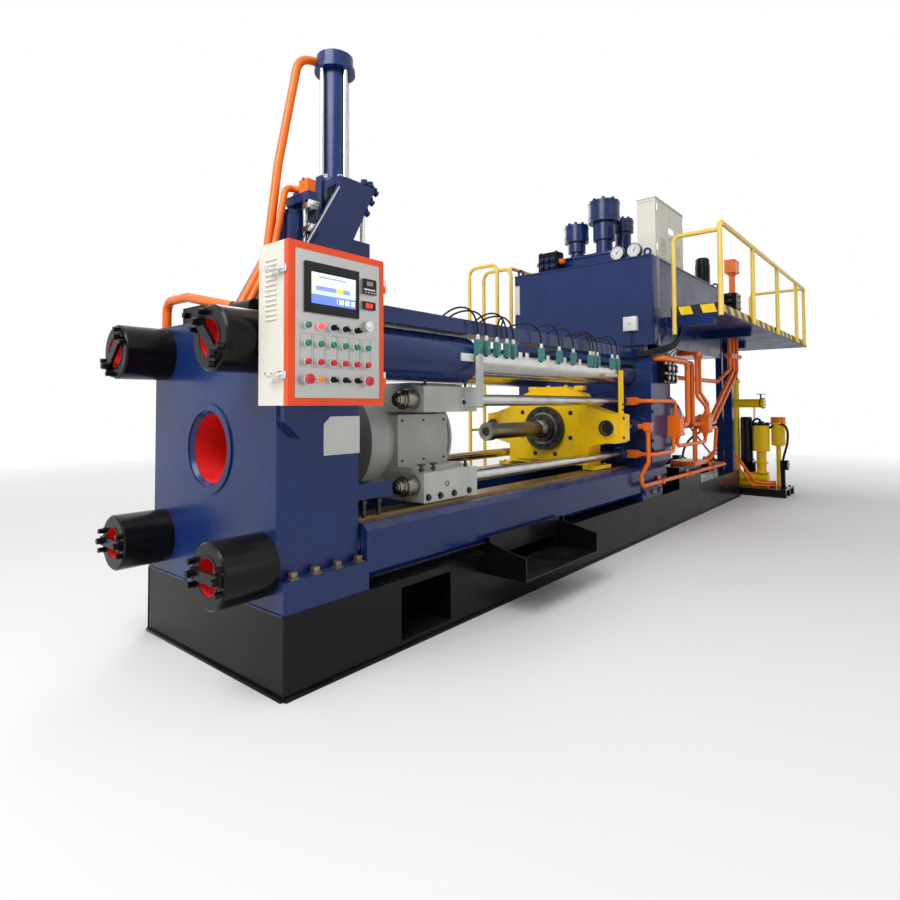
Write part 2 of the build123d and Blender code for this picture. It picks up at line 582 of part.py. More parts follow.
def pressure_pipes():
    """Orange pipes between the cylinders, the manifold blocks and the deck."""
    top = DECK_Z + 110
    runs = [
        (PIPE_R, [(182, -602, 1235), (182, -745, 1235), (745, -745, 1235), (745, -745, 1100)]),
        (PIPE_R, [(182, -602, 765), (182, -745, 765), (690, -745, 765), (690, -745, 910)]),
        (PIPE_R, [(147, -715, 975), (147, -715, 700), (140, -655, 590), (140, -655, 485), (2720, -655, 485),
                  (2860, -340, 470), (3420, -340, 590), (3600, -527, 571), (3725, -750, 174),
                  (3840, -900, 150), (3930, -900, 150)]),
        (BIG_PIPE_R, [(330, -700, 1620), (330, -790, 1620), (968, -790, 1620), (968, -790, 1010),
                      (770, -790, 1010)]),
        (PIPE_R, [(1600, -762, 905), (1600, -762, 810), (745, -762, 810), (745, -762, 910)]),
        (SMALL_PIPE_R, [(1568, -655, 600), (1568, -655, 960), (1568, -712, 960)]),
        (SMALL_PIPE_R, [(1632, -655, 600), (1632, -655, 1030), (1632, -712, 1030)]),
        (PIPE_R, [(1660, -775, 950), (1950, -775, 950), (2030, -730, 660), (1990, -662, 580),
                  (1860, -662, 580)]),
        (PIPE_R, [(1275, -783, 1700), (1275, -783, 1290), (1570, -783, 1180), (1570, -783, 1100)]),
        (PIPE_R, [(1377, -783, 1700), (1377, -783, 1330), (1630, -783, 1210), (1630, -783, 1100)]),
        (DECK_PIPE_R, [(750, -670, 1470), (2400, -670, 1470), (2620, -750, 1620), (2620, -750, top)]),
        (DECK_PIPE_R, [(2780, -750, top), (2780, -750, 1620), (1860, -750, 1060), (1660, -750, 1060)]),
        (DECK_PIPE_R, [(2940, -750, top), (2940, -750, 1600), (1940, -750, 1000), (1660, -750, 1000)]),
        (THIN_PIPE_R, [(2020, -570, 1010), (2260, -570, 1010), (2440, -300, 980), (3400, -280, 560),
                       (3560, -500, 500), (3680, -730, 130), (3840, -930, 122), (3930, -930, 122)]),
        (BIG_PIPE_R, [(2760, -750, 2550), (2760, -750, 2800)]),
        (BIG_PIPE_R, [(2840, -750, 2550), (2840, -750, 2800)]),
        (BIG_PIPE_R, [(2225, -600, 2680), (2320, -600, 2680), (2320, -600, 2552)]),
        (BIG_PIPE_R, [(-3460, 530, 1620), (-3460, 530, 1770), (-3460, 300, 1768), (-3460, -145, 1672)]),
        (PIPE_R, [(-3000, -50, 2385), (-3000, 0, 2385), (-3075, 0, 2385), (-3150, 0, 2000),
                  (-3300, -15, 1720), (-3300, -15, 1620)]),
    ]
    pipes = [pipe(points, radius) for radius, points in runs]
    pipes.append(pipe([(500, -700, 1620), (500, -735, 1620), (1280, -735, 1620), (1280, -735, 1000),
                       (1540, -735, 1000)], BIG_PIPE_R, 30))
    shear_pipe = pipe([(-2815, 60, 3210), (-2952, 60, 3172), (-3083, 60, 2521), (-3150, 60, 2000),
                       (-3310, 40, 1720), (-3310, 40, 1620)], BIG_PIPE_R, 120)
    pipes.append(shear_pipe - along_z(106, SHEAR_TOP_Z - 1, SHEAR_TOP_Z + 69, SHEAR_X, 0))
    save("pressure_pipes", *pipes)


def valves():
    """Dark valve blocks with their solenoids, and the small tank motor."""
    deck_top = DECK_Z + 14
    stand = span(2570, 2990, -840, -660, DECK_Z + 110, 2300) + span(2700, 2900, -820, -680, 2300, 2550)
    for x in (2570, 2968):
        stand += span(x, x + 22, -835, -665, deck_top, DECK_Z + 110)
    cluster = span(430, 750, -762, -REAR_HALF_WIDTH, 1400, 1585)
    for x in (490, 590, 690):
        cluster += along_y(34, -790, -762, x, 1535) + along_y(30, -785, -762, x, 1445)
    base_box = span(1200, 1900, -620, -410, BASE_HEIGHT, 560)
    lid = TANK_Z1 + 12
    tank_block = span(270, 400, 235, 450, lid, 2745)
    motor = along_z(75, lid, 2870, 2150, -600)
    front_block = span(-3425, -3335, 150, 420, FRONT_TOP_Z, 1725)
    front_fitting = along_y(32, -330, -152, -3460, 1655) - along_y(4, -331, -329, -3460, 1655)
    save("valve_blocks", stand, cluster, base_box, tank_block, motor, front_block, front_fitting)


def pump_set():
    skid = span(3620, 4200, -1130, 440, 85, 100)
    for x in (3630, 3890, 4130):
        skid += span(x, x + 60, -1130, 440, 0, 85)
    save("pump_skid", skid)

    header = along_y(70, -860, -410, 4000, 200) + span(3950, 4050, -840, -430, 100, 200)
    header += along_z(46, 200, 560, 4000, -465)
    suction = along_z(46, 560, 1540, 4000, -465) + along_z(62, 1500, 1540, 4000, -465)
    branch = along_y(58, -775, -465, 4000, 1217) + along_y(74, -830, -795, 4000, 1217)
    first = along_z(60, 260, 565, 4000, -780) + along_z(104, 565, 915, 4000, -780)
    second = along_z(30, 100, 650, 4050, -980) + along_z(85, 650, 940, 4050, -980)
    second += along_z(100, 935, 955, 4050, -980)
    save("return_filters", header + suction + branch + first, second)

    wafer = along_y(62, -795, -775, 4000, 1217)
    cap = along_z(106, 915, 945, 4000, -780) + along_z(40, 945, 970, 4000, -780)
    riser = pipe([(4000, -465, 1540), (4000, -465, 1890), (4000, -300, 1890), (2400, -300, 1890)], 34, 90)
    motor = along_z(76, 420, 1000, 4000, -597) + span(3925, 4130, -680, -530, 400, 420)
    motor += span(4090, 4130, -680, -530, 100, 400)
    coupling = along_y(65, -1120, -1080, 3900, 400) + span(3860, 3940, -1080, -1030, 340, 460)
    coupling += span(3880, 3920, -1080, -1030, 100, 340)
    units = [wafer, cap, riser, motor, coupling]
    for y in (-130, 300):
        unit = along_x(125, 3640, 4020, y, 300) + along_x(80, 4020, 4190, y, 300)
        unit += span(3680, 3740, y - 110, y + 110, 100, 260) + span(3930, 3990, y - 110, y + 110, 100, 260)
        units.append(unit)
    save("pump_units", *units)


base_parts()
front_platen()
tie_rods()
rod_covers()
die_holder()
shear_frame()
shear_slide()
rear_platen()
press_cylinders()
container()
crosshead()
oil_tank()
platform()
control_panel()
switch_rail()
fittings()
pressure_pipes()
valves()
pump_set()
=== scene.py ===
"""An aluminium extrusion press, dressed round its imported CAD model."""

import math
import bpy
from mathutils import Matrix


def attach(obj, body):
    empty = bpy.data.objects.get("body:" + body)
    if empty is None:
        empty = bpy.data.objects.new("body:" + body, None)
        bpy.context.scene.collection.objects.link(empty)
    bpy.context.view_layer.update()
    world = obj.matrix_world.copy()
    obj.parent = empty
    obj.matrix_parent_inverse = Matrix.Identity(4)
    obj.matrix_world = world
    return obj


bl_info = {
    "name": "Aluminum Extrusion Press",
    "version": (1, 0, 0),
    "blender": (4, 5, 0),
    "location": "View3D > Sidebar > Press",
    "description": "Finishes and fittings of a four-column extrusion press",
    "category": "Object",
}

import bmesh
import bpy
from mathutils import Matrix, Vector

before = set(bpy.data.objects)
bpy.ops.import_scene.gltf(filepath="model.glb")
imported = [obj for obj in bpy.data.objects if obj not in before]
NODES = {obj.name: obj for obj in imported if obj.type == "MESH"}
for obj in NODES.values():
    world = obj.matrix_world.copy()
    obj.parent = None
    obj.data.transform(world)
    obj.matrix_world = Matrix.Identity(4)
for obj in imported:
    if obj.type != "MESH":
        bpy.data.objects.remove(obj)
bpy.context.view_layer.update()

AXIS_Z = 1.0
SIDE_Y, SIDE_Z = 0.570, 1.010
ROD_PLACES = [(y, z) for y in (-0.460, 0.460) for z in (0.530, 1.475)]
SHIFT_PLACES = [(y, AXIS_Z + rise) for y in (-0.450, 0.450) for rise in (-0.235, 0.235)]
MINUS_X, PLUS_X = Vector((-1, 0, 0)), Vector((1, 0, 0))
MINUS_Y, PLUS_Y = Vector((0, -1, 0)), Vector((0, 1, 0))
MINUS_Z, PLUS_Z = Vector((0, 0, -1)), Vector((0, 0, 1))

MERGE_DISTANCE = 1e-5
SMOOTH_ANGLE = math.radians(35.0)
MATERIALS = {}


# User values


class PressFinishes(bpy.types.PropertyGroup):
    """Colours of the press."""

    def colour(name, description, default):
        return bpy.props.FloatVectorProperty(
            name=name, description=description, subtype="COLOR", size=3, min=0.0, max=1.0, default=default)

    blue: colour("Frame blue", "Enamel on the platens, tank and cylinders", (0.007, 0.027, 0.135))
    black: colour("Base black", "Gloss enamel on the base and the tie rod nuts", (0.004, 0.004, 0.005))
    yellow: colour("Crosshead yellow", "Enamel on the crosshead", (0.98, 0.62, 0.002))
    rail: colour("Handrail yellow", "Paint on the handrails", (0.95, 0.66, 0.11))
    orange: colour("Pipe orange", "Enamel on the pressure pipes and blocks", (0.95, 0.170, 0.008))
    door: colour("Door orange", "Powder coat on the panel door", (0.94, 0.075, 0.005))
    cream: colour("Cabinet cream", "Powder coat on the cabinets", (0.72, 0.70, 0.61))
    silver: colour("Container silver", "Heat-proof paint on the container", (0.50, 0.51, 0.48))
    teal: colour("Switch teal", "Paint on the limit switches", (0.055, 0.225, 0.215))
    red: colour("Recess red", "Primer inside the nuts and the profile exit", (0.80, 0.012, 0.010))
    filter_yellow: colour("Filter yellow", "Enamel on the oil filters", (0.96, 0.62, 0.004))


class PressSizes(bpy.types.PropertyGroup):
    """Sizes of the small fittings."""

    bolt: bpy.props.FloatProperty(
        name="Bolt size", description="Half the width across corners of a common bolt head",
        subtype="DISTANCE", unit="LENGTH", min=0.0005, default=0.014)


# Mesh helpers


def vec(*numbers):
    return Vector(numbers)


def edges_of(verts):
    return list({edge for vert in verts for edge in vert.link_edges})


def bevel(bm, verts, offset, segments=2):
    bmesh.ops.bevel(bm, geom=edges_of(verts), offset=offset, offset_type="OFFSET", segments=segments,
                    profile=0.5, affect="EDGES", material=-1)


def block(bm, low, high, edge=0.0, segments=2):
    """A box between two corners with rounded edges."""
    low, high = Vector(low), Vector(high)
    verts = bmesh.ops.create_cube(bm, size=1.0)["verts"]
    bmesh.ops.scale(bm, vec=high - low, verts=verts)
    bmesh.ops.translate(bm, vec=(low + high) / 2, verts=verts)
    if edge:
        bevel(bm, verts, edge, segments)


def turned_block(bm, size, matrix, edge=0.0):
    """A box of one size, put in place by a matrix."""
    verts = bmesh.ops.create_cube(bm, size=1.0)["verts"]
    bmesh.ops.scale(bm, vec=size, verts=verts)
    bmesh.ops.transform(bm, matrix=matrix, verts=verts)
    if edge:
        bevel(bm, verts, edge)


def turned(start, direction):
    """The matrix that stands a shape's +Z along direction, centred at start."""
    return Matrix.Translation(start) @ Vector(direction).to_track_quat("Z", "Y").to_matrix().to_4x4()


def rod(bm, start, direction, length, radius, tip=None, sides=24, edge=0.0):
    """A round bar or a cone from start along direction."""
    place = turned(start, direction) @ Matrix.Translation((0, 0, length / 2))
    tip = radius if tip is None else tip
    verts = bmesh.ops.create_cone(bm, cap_ends=True, segments=sides, radius1=radius, radius2=tip,
                                  depth=length, matrix=place)["verts"]
    if edge:
        caps = [e for e in edges_of(verts) if any(len(f.verts) > 4 for f in e.link_faces)]
        bmesh.ops.bevel(bm, geom=caps, offset=edge, offset_type="OFFSET", segments=2, profile=0.5,
                        affect="EDGES", material=-1)


def joined_to(verts):
    """All vertices that hang together with the given ones, in a steady order."""
    found = dict.fromkeys(verts)
    frontier = list(verts)
    while frontier:
        vert = frontier.pop()
        for edge in vert.link_edges:
            other = edge.other_vert(vert)
            if other not in found:
                found[other] = None
                frontier.append(other)
    return list(found)


def spun(bm, profile, start, direction, sides=32):
    """A turned shape: (radius, height) points spun round direction from start."""
    verts = [bm.verts.new((radius, 0, height)) for radius, height in profile]
    edges = [bm.edges.new(pair) for pair in zip(verts, verts[1:])]
    bmesh.ops.spin(bm, geom=verts + edges, cent=(0, 0, 0), axis=(0, 0, 1), dvec=(0, 0, 0),
                   angle=math.tau, steps=sides, use_merge=True, use_duplicate=False)
    grown = joined_to(verts)
    bmesh.ops.remove_doubles(bm, verts=grown, dist=MERGE_DISTANCE)
    grown = [vert for vert in grown if vert.is_valid]
    faces = list({face for vert in grown for face in vert.link_faces})
    bmesh.ops.recalc_face_normals(bm, faces=faces)
    bmesh.ops.transform(bm, matrix=turned(start, direction), verts=grown)


def hex_head(bm, start, direction, size, height=None, washer=True):
    """A hexagon head on its washer."""
    height = size * 0.62 if height is None else height
    base = Vector(start)
    direction = Vector(direction).normalized()
    if washer:
        rod(bm, base, direction, size * 0.16, size * 1.28, sides=16)
        base = base + direction * size * 0.16
    rod(bm, base, direction, height, size, tip=size * 0.93, sides=6)


def cap_screw(bm, start, direction, size):
    """A round head with a dimple for its key."""
    spun(bm, [(0, 0), (size, 0), (size, size * 0.9), (size * 0.86, size), (size * 0.5, size),
              (size * 0.5, size * 0.5), (0, size * 0.5)], start, direction, sides=12)


def add_object(name, mesh, body, finish):
    """Link a mesh as a piece that rides a body."""
    mesh.materials.clear()
    mesh.materials.append(MATERIALS[finish])
    piece = bpy.data.objects.new(name, mesh)
    bpy.context.scene.collection.objects.link(piece)
    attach(piece, body)


def place_piece(bm, name, body, finish):
    """Turn the shapes in a bmesh into a finished piece that rides a body."""
    mesh = bpy.data.meshes.new(name)
    bm.to_mesh(mesh)
    bm.free()
    mesh.shade_smooth()
    mesh.set_sharp_from_angle(angle=SMOOTH_ANGLE)
    add_object(name, mesh, body, finish)


# Material helpers


class Sheet:
    """Places nodes in a material or a group, and links them."""

    def __init__(self, tree):
        self.tree = tree

    def add(self, kind, **values):
        node = self.tree.nodes.new(kind)
        for key, value in values.items():
            if key.startswith("in_"):
                label = key[3:]
                self.feed(value, node.inputs[int(label) if label.isdigit() else label.replace("_", " ")])
            else:
                setattr(node, key, value)
        return node

    def feed(self, value, socket):
        if isinstance(value, bpy.types.NodeSocket):
            self.tree.links.new(value, socket)
        else:
            socket.default_value = value

    def math(self, operation, first, second=0.5, clamp=False):
        node = self.add("ShaderNodeMath", operation=operation, use_clamp=clamp, in_0=first, in_1=second)
        return node.outputs[0]

    def mix(self, factor, first, second):
        node = self.add("ShaderNodeMix", data_type="RGBA")
        self.feed(factor, node.inputs[0])
        self.feed(first, node.inputs[6])
        self.feed(second, node.inputs[7])
        return node.outputs[2]

    def ramp(self, value, low, high, bottom=0.0, top=1.0):
        node = self.add("ShaderNodeMapRange", clamp=True)
        for socket, number in zip(node.inputs, (value, low, high, bottom, top)):
            self.feed(number, socket)
        return node.outputs[0]

    def window(self, value, low, high):
        """One between two bounds, else nothing."""
        above = self.math("GREATER_THAN", value, low)
        return self.math("MULTIPLY", above, self.math("LESS_THAN", value, high))

    def noise(self, place, scale, detail=3.0, rough=0.5):
        node = self.add("ShaderNodeTexNoise")
        self.feed(place, node.inputs["Vector"])
        node.inputs["Scale"].default_value = scale
        node.inputs["Detail"].default_value = detail
        node.inputs["Roughness"].default_value = rough
        return node.outputs["Fac"]


def open_group(name, inputs, outputs):
    """A shader node group with its sockets, and the sheet to fill it."""
    tree = bpy.data.node_groups.new(name, "ShaderNodeTree")
    for label, kind, value in inputs:
        tree.interface.new_socket(name=label, in_out="INPUT", socket_type=kind).default_value = value
    for label, kind in outputs:
        tree.interface.new_socket(name=label, in_out="OUTPUT", socket_type=kind)
    sheet = Sheet(tree)
    return tree, sheet, sheet.add("NodeGroupInput"), sheet.add("NodeGroupOutput")


FLOAT, COLOUR = "NodeSocketFloat", "NodeSocketColor"


def enamel_group():
    """Brushed or sprayed enamel: uneven colour, dust on top faces, smudged gloss, orange peel."""
    tree, sheet, inward, outward = open_group(
        "Enamel Coat",
        [("Color", COLOUR, (0.5, 0.5, 0.5, 1)), ("Deep Color", COLOUR, (0.4, 0.4, 0.4, 1)),
         ("Roughness", FLOAT, 0.25), ("Smudge", FLOAT, 0.12), ("Dust", FLOAT, 0.12),
         ("Peel Scale", FLOAT, 160.0)],
        [("Color", COLOUR), ("Roughness", FLOAT), ("Height", FLOAT)])
    place = sheet.add("ShaderNodeTexCoord").outputs["Object"]
    clouds = sheet.ramp(sheet.noise(place, 1.7, 4.0, 0.6), 0.35, 0.7)
    streak_place = sheet.add("ShaderNodeMapping", in_0=place, in_3=(6.0, 6.0, 0.7)).outputs[0]
    streaks = sheet.ramp(sheet.noise(streak_place, 2.0, 5.0, 0.6), 0.45, 0.75)
    deep = inward.outputs["Deep Color"]
    shade = sheet.mix(sheet.math("MULTIPLY", clouds, 0.75), inward.outputs["Color"], deep)
    shade = sheet.mix(sheet.math("MULTIPLY", streaks, 0.28), shade, deep)
    normal = sheet.add("ShaderNodeNewGeometry").outputs["Normal"]
    facing = sheet.add("ShaderNodeSeparateXYZ", in_0=normal).outputs[2]
    specks = sheet.ramp(sheet.noise(place, 9.0, 6.0, 0.65), 0.38, 0.72)
    dust = sheet.math("MULTIPLY", sheet.ramp(facing, 0.5, 0.95), specks)
    dust = sheet.math("MULTIPLY", dust, inward.outputs["Dust"])
    shade = sheet.mix(dust, shade, (0.42, 0.40, 0.36, 1))
    smudges = sheet.ramp(sheet.noise(place, 5.0, 5.0, 0.6), 0.35, 0.75)
    rough = sheet.math("MULTIPLY", smudges, inward.outputs["Smudge"])
    rough = sheet.math("ADD", rough, inward.outputs["Roughness"])
    rough = sheet.math("ADD", rough, sheet.math("MULTIPLY", dust, 0.8), clamp=True)
    peel = sheet.add("ShaderNodeTexNoise", in_Vector=place)
    sheet.feed(inward.outputs["Peel Scale"], peel.inputs["Scale"])
    peel.inputs["Detail"].default_value = 1.0
    sheet.feed(shade, outward.inputs["Color"])
    sheet.feed(rough, outward.inputs["Roughness"])
    sheet.feed(peel.outputs["Fac"], outward.inputs["Height"])
    return tree


def metal_group():
    """Turned or ground metal: fine lines across one axis, stains and uneven polish."""
    tree, sheet, inward, outward = open_group(
        "Ground Metal",
        [("Color", COLOUR, (0.6, 0.6, 0.6, 1)), ("Stain Color", COLOUR, (0.2, 0.2, 0.2, 1)),
         ("Roughness", FLOAT, 0.2), ("Stain", FLOAT, 0.3), ("Along X", FLOAT, 140.0),
         ("Across", FLOAT, 3.0)],
        [("Color", COLOUR), ("Roughness", FLOAT), ("Height", FLOAT)])
    place = sheet.add("ShaderNodeTexCoord").outputs["Object"]
    along, across = inward.outputs["Along X"], inward.outputs["Across"]
    stretch = sheet.add("ShaderNodeCombineXYZ", in_0=along, in_1=across, in_2=across).outputs[0]
    lined = sheet.add("ShaderNodeVectorMath", operation="MULTIPLY", in_0=place, in_1=stretch).outputs[0]
    lines = sheet.noise(lined, 1.0, 4.0, 0.7)
    stains = sheet.ramp(sheet.noise(place, 7.0, 6.0, 0.62), 0.42, 0.72)
    stains = sheet.math("MULTIPLY", stains, inward.outputs["Stain"])
    shade = sheet.mix(stains, inward.outputs["Color"], inward.outputs["Stain Color"])
    rough = sheet.math("ADD", inward.outputs["Roughness"], sheet.math("MULTIPLY", lines, 0.14))
    rough = sheet.math("ADD", rough, sheet.math("MULTIPLY", stains, 0.3), clamp=True)
    sheet.feed(shade, outward.inputs["Color"])
    sheet.feed(rough, outward.inputs["Roughness"])
    sheet.feed(lines, outward.inputs["Height"])
    return tree


def start_material(name):
    material = bpy.data.materials.new(name)
    material.use_nodes = True
    material.node_tree.nodes.clear()
    sheet = Sheet(material.node_tree)
    shader = sheet.add("ShaderNodeBsdfPrincipled")
    out = sheet.add("ShaderNodeOutputMaterial")
    sheet.feed(shader.outputs[0], out.inputs[0])
    return material, sheet, shader


def rgba(colour, gain=1.0):
    return (colour[0] * gain, colour[1] * gain, colour[2] * gain, 1.0)


def coat(name, colour, rough=0.22, deep=0.55, smudge=0.14, dust=0.14, peel=160.0, bump=0.02,
         gloss=0.0, shine=0.5):
    """Enamel or powder coat in one colour."""
    material, sheet, shader = start_material(name)
    group = sheet.add("ShaderNodeGroup", node_tree=bpy.data.node_groups["Enamel Coat"])
    for label, value in (("Color", rgba(colour)), ("Deep Color", rgba(colour, deep)), ("Roughness", rough),
                         ("Smudge", smudge), ("Dust", dust), ("Peel Scale", peel)):
        group.inputs[label].default_value = value
    sheet.feed(group.outputs["Color"], shader.inputs["Base Color"])
    sheet.feed(group.outputs["Roughness"], shader.inputs["Roughness"])
    dent = sheet.add("ShaderNodeBump", in_Height=group.outputs["Height"])
    dent.inputs["Strength"].default_value = bump
    dent.inputs["Distance"].default_value = 0.002
    sheet.feed(dent.outputs[0], shader.inputs["Normal"])
    shader.inputs["Specular IOR Level"].default_value = shine
    shader.inputs["Coat Weight"].default_value = gloss
    shader.inputs["Coat Roughness"].default_value = 0.06
    return material


def metal(name, colour, rough=0.2, stain=0.3, stained=0.35, along=140.0, across=3.0, bump=0.05):
    """Bare metal with ground or turned lines."""
    material, sheet, shader = start_material(name)
    group = sheet.add("ShaderNodeGroup", node_tree=bpy.data.node_groups["Ground Metal"])
    for label, value in (("Color", rgba(colour)), ("Stain Color", rgba(colour, stained)), ("Roughness", rough),
                         ("Stain", stain), ("Along X", along), ("Across", across)):
        group.inputs[label].default_value = value
    sheet.feed(group.outputs["Color"], shader.inputs["Base Color"])
    sheet.feed(group.outputs["Roughness"], shader.inputs["Roughness"])
    shader.inputs["Metallic"].default_value = 1.0
    dent = sheet.add("ShaderNodeBump", in_Height=group.outputs["Height"])
    dent.inputs["Strength"].default_value = bump
    dent.inputs["Distance"].default_value = 0.001
    sheet.feed(dent.outputs[0], shader.inputs["Normal"])
    return material


def hazard_paint(name, yellow, black, pitch, slant):
    """Slanted bars on the platform's edge boards, and two squares on its front board."""
    material, sheet, shader = start_material(name)
    place = sheet.add("ShaderNodeTexCoord").outputs["Object"]
    axes = sheet.add("ShaderNodeSeparateXYZ", in_0=place)
    side, height = axes.outputs[1], axes.outputs[2]

    ends = sheet.math("GREATER_THAN", axes.outputs[0], 4.67)
    front = sheet.math("LESS_THAN", axes.outputs[0], 0.6085)
    along = sheet.math("ADD", axes.outputs[0], sheet.math("MULTIPLY", height, slant))
    along = sheet.math("ADD", along, sheet.math("MULTIPLY", ends, side))
    wave = sheet.math("FRACT", sheet.math("DIVIDE", sheet.math("SUBTRACT", along, 0.018), pitch))
    bars = sheet.math("GREATER_THAN", wave, 0.5)
    lean = sheet.math("MULTIPLY", sheet.math("SUBTRACT", height, 2.065), -0.35)
    leaning = sheet.math("ADD", side, lean)
    inner_square = sheet.window(leaning, -0.960, -0.850)
    squares = sheet.math("ADD", inner_square, sheet.window(leaning, -1.165, -1.045))
    squares = sheet.math("MULTIPLY", squares, sheet.window(height, 2.027, 2.104))
    mask = sheet.add("ShaderNodeMix", data_type="FLOAT", in_0=front, in_2=bars, in_3=squares).outputs[0]
    grime = sheet.ramp(sheet.noise(place, 14.0, 5.0, 0.6), 0.4, 0.8, 0.0, 0.25)
    shade = sheet.mix(mask, rgba(black), rgba(yellow))
    shade = sheet.mix(grime, shade, rgba(black, 1.6))
    sheet.feed(shade, shader.inputs["Base Color"])
    sheet.feed(sheet.ramp(grime, 0.0, 0.25, 0.35, 0.55), shader.inputs["Roughness"])
    shader.inputs["Specular IOR Level"].default_value = 0.3
    return material


def lamp(name, colour, power):
    """A lit lens."""
    material, sheet, shader = start_material(name)
    shader.inputs["Base Color"].default_value = rgba(colour)
    shader.inputs["Roughness"].default_value = 0.25
    shader.inputs["Emission Color"].default_value = rgba(colour)
    shader.inputs["Emission Strength"].default_value = power
    return material


def screen_glass(name):
    """A lit screen: a pale page with a blue foot and a band of plain coloured blocks."""
    material, sheet, shader = start_material(name)
    axes = sheet.add("ShaderNodeSeparateXYZ", in_0=sheet.add("ShaderNodeTexCoord").outputs["Object"])
    across = sheet.ramp(axes.outputs[0], -3.515, -3.287)
    height = sheet.ramp(axes.outputs[2], 1.605, 1.729)

    page = sheet.mix(height, (0.36, 0.50, 0.95, 1), (0.80, 0.86, 0.98, 1))
    foot = sheet.math("LESS_THAN", height, 0.30)
    page = sheet.mix(sheet.math("MULTIPLY", foot, 0.85), page, (0.08, 0.16, 0.86, 1))
    press = sheet.math("MULTIPLY", sheet.window(height, 0.44, 0.58), sheet.window(across, 0.10, 0.86))
    page = sheet.mix(press, page, (0.22, 0.28, 0.62, 1))
    yellow = sheet.math("MULTIPLY", sheet.window(height, 0.42, 0.60), sheet.window(across, 0.55, 0.70))
    page = sheet.mix(yellow, page, (0.95, 0.62, 0.05, 1))
    cells = sheet.math("GREATER_THAN", sheet.math("FRACT", sheet.math("MULTIPLY", across, 7.0)), 0.28)
    cells = sheet.math("MULTIPLY", cells, sheet.window(height, 0.08, 0.24))
    cells = sheet.math("MULTIPLY", cells, sheet.window(across, 0.56, 0.98))
    page = sheet.mix(cells, page, (0.90, 0.90, 0.92, 1))
    title = sheet.math("MULTIPLY", sheet.window(height, 0.84, 0.90), sheet.window(across, 0.16, 0.78))
    page = sheet.mix(title, page, (0.30, 0.36, 0.70, 1))
    sheet.feed(page, shader.inputs["Base Color"])
    sheet.feed(page, shader.inputs["Emission Color"])
    shader.inputs["Emission Strength"].default_value = 0.75
    shader.inputs["Roughness"].default_value = 0.12
    return material


# Shared fittings


def hex_heads(bm, places, direction, size, height=None, washer=True):
    for place in places:
        hex_head(bm, place, direction, size, height, washer)


def bolt_circle(x, y, z, radius, count, start=0.0):
    """Places round a circle that faces along the press."""
    turns = [start + math.tau * index / count for index in range(count)]
    return [vec(x, y + radius * math.cos(turn), z + radius * math.sin(turn)) for turn in turns]


def deck_circle(x, y, z, radius, count, start=0.0):
    """Places round a level circle."""
    turns = [start + math.tau * index / count for index in range(count)]
    return [vec(x + radius * math.cos(turn), y + radius * math.sin(turn), z) for turn in turns]


def side_circle(x, y, z, radius, count, start=0.0):
    """Places round a circle that faces the operator."""
    turns = [start + math.tau * index / count for index in range(count)]
    return [vec(x + radius * math.cos(turn), y, z + radius * math.sin(turn)) for turn in turns]


def ring(bm, start, direction, inner, outer, length, sides=40, edge=0.0):
    """A flat collar with a hole through it."""
    soft = min(edge, length / 3)
    spun(bm, [(inner, 0), (outer, 0), (outer, length - soft), (outer - soft, length), (inner, length),
              (inner, 0)], start, direction, sides)


def plate(bm, corners, y, thickness):
    """A flat plate on the near side from its (x, z) corners."""
    front = [bm.verts.new((x, y - thickness, z)) for x, z in corners]
    back = [bm.verts.new((x, y, z)) for x, z in corners]
    bm.faces.new(front)
    bm.faces.new(list(reversed(back)))
    for index in range(len(corners)):
        after = (index + 1) % len(corners)
        bm.faces.new((front[index], back[index], back[after], front[after]))


def tubes(name, body, finish, routes, radius):
    """Fixed wires or hoses that follow smooth routes."""
    curve = bpy.data.curves.new(name, "CURVE")
    curve.dimensions = "3D"
    curve.bevel_depth = radius
    curve.bevel_resolution = 2
    curve.resolution_u = 8
    curve.use_fill_caps = True
    for route in routes:
        spline = curve.splines.new("NURBS")
        spline.points.add(len(route) - 1)
        for point, place in zip(spline.points, route):
            point.co = (*place, 1.0)
        spline.order_u = 3
        spline.use_endpoint_u = True
    holder = bpy.data.objects.new(name, curve)
    mesh = bpy.data.meshes.new_from_object(holder)
    bpy.data.objects.remove(holder)
    add_object(name, mesh, body, finish)


# Operators


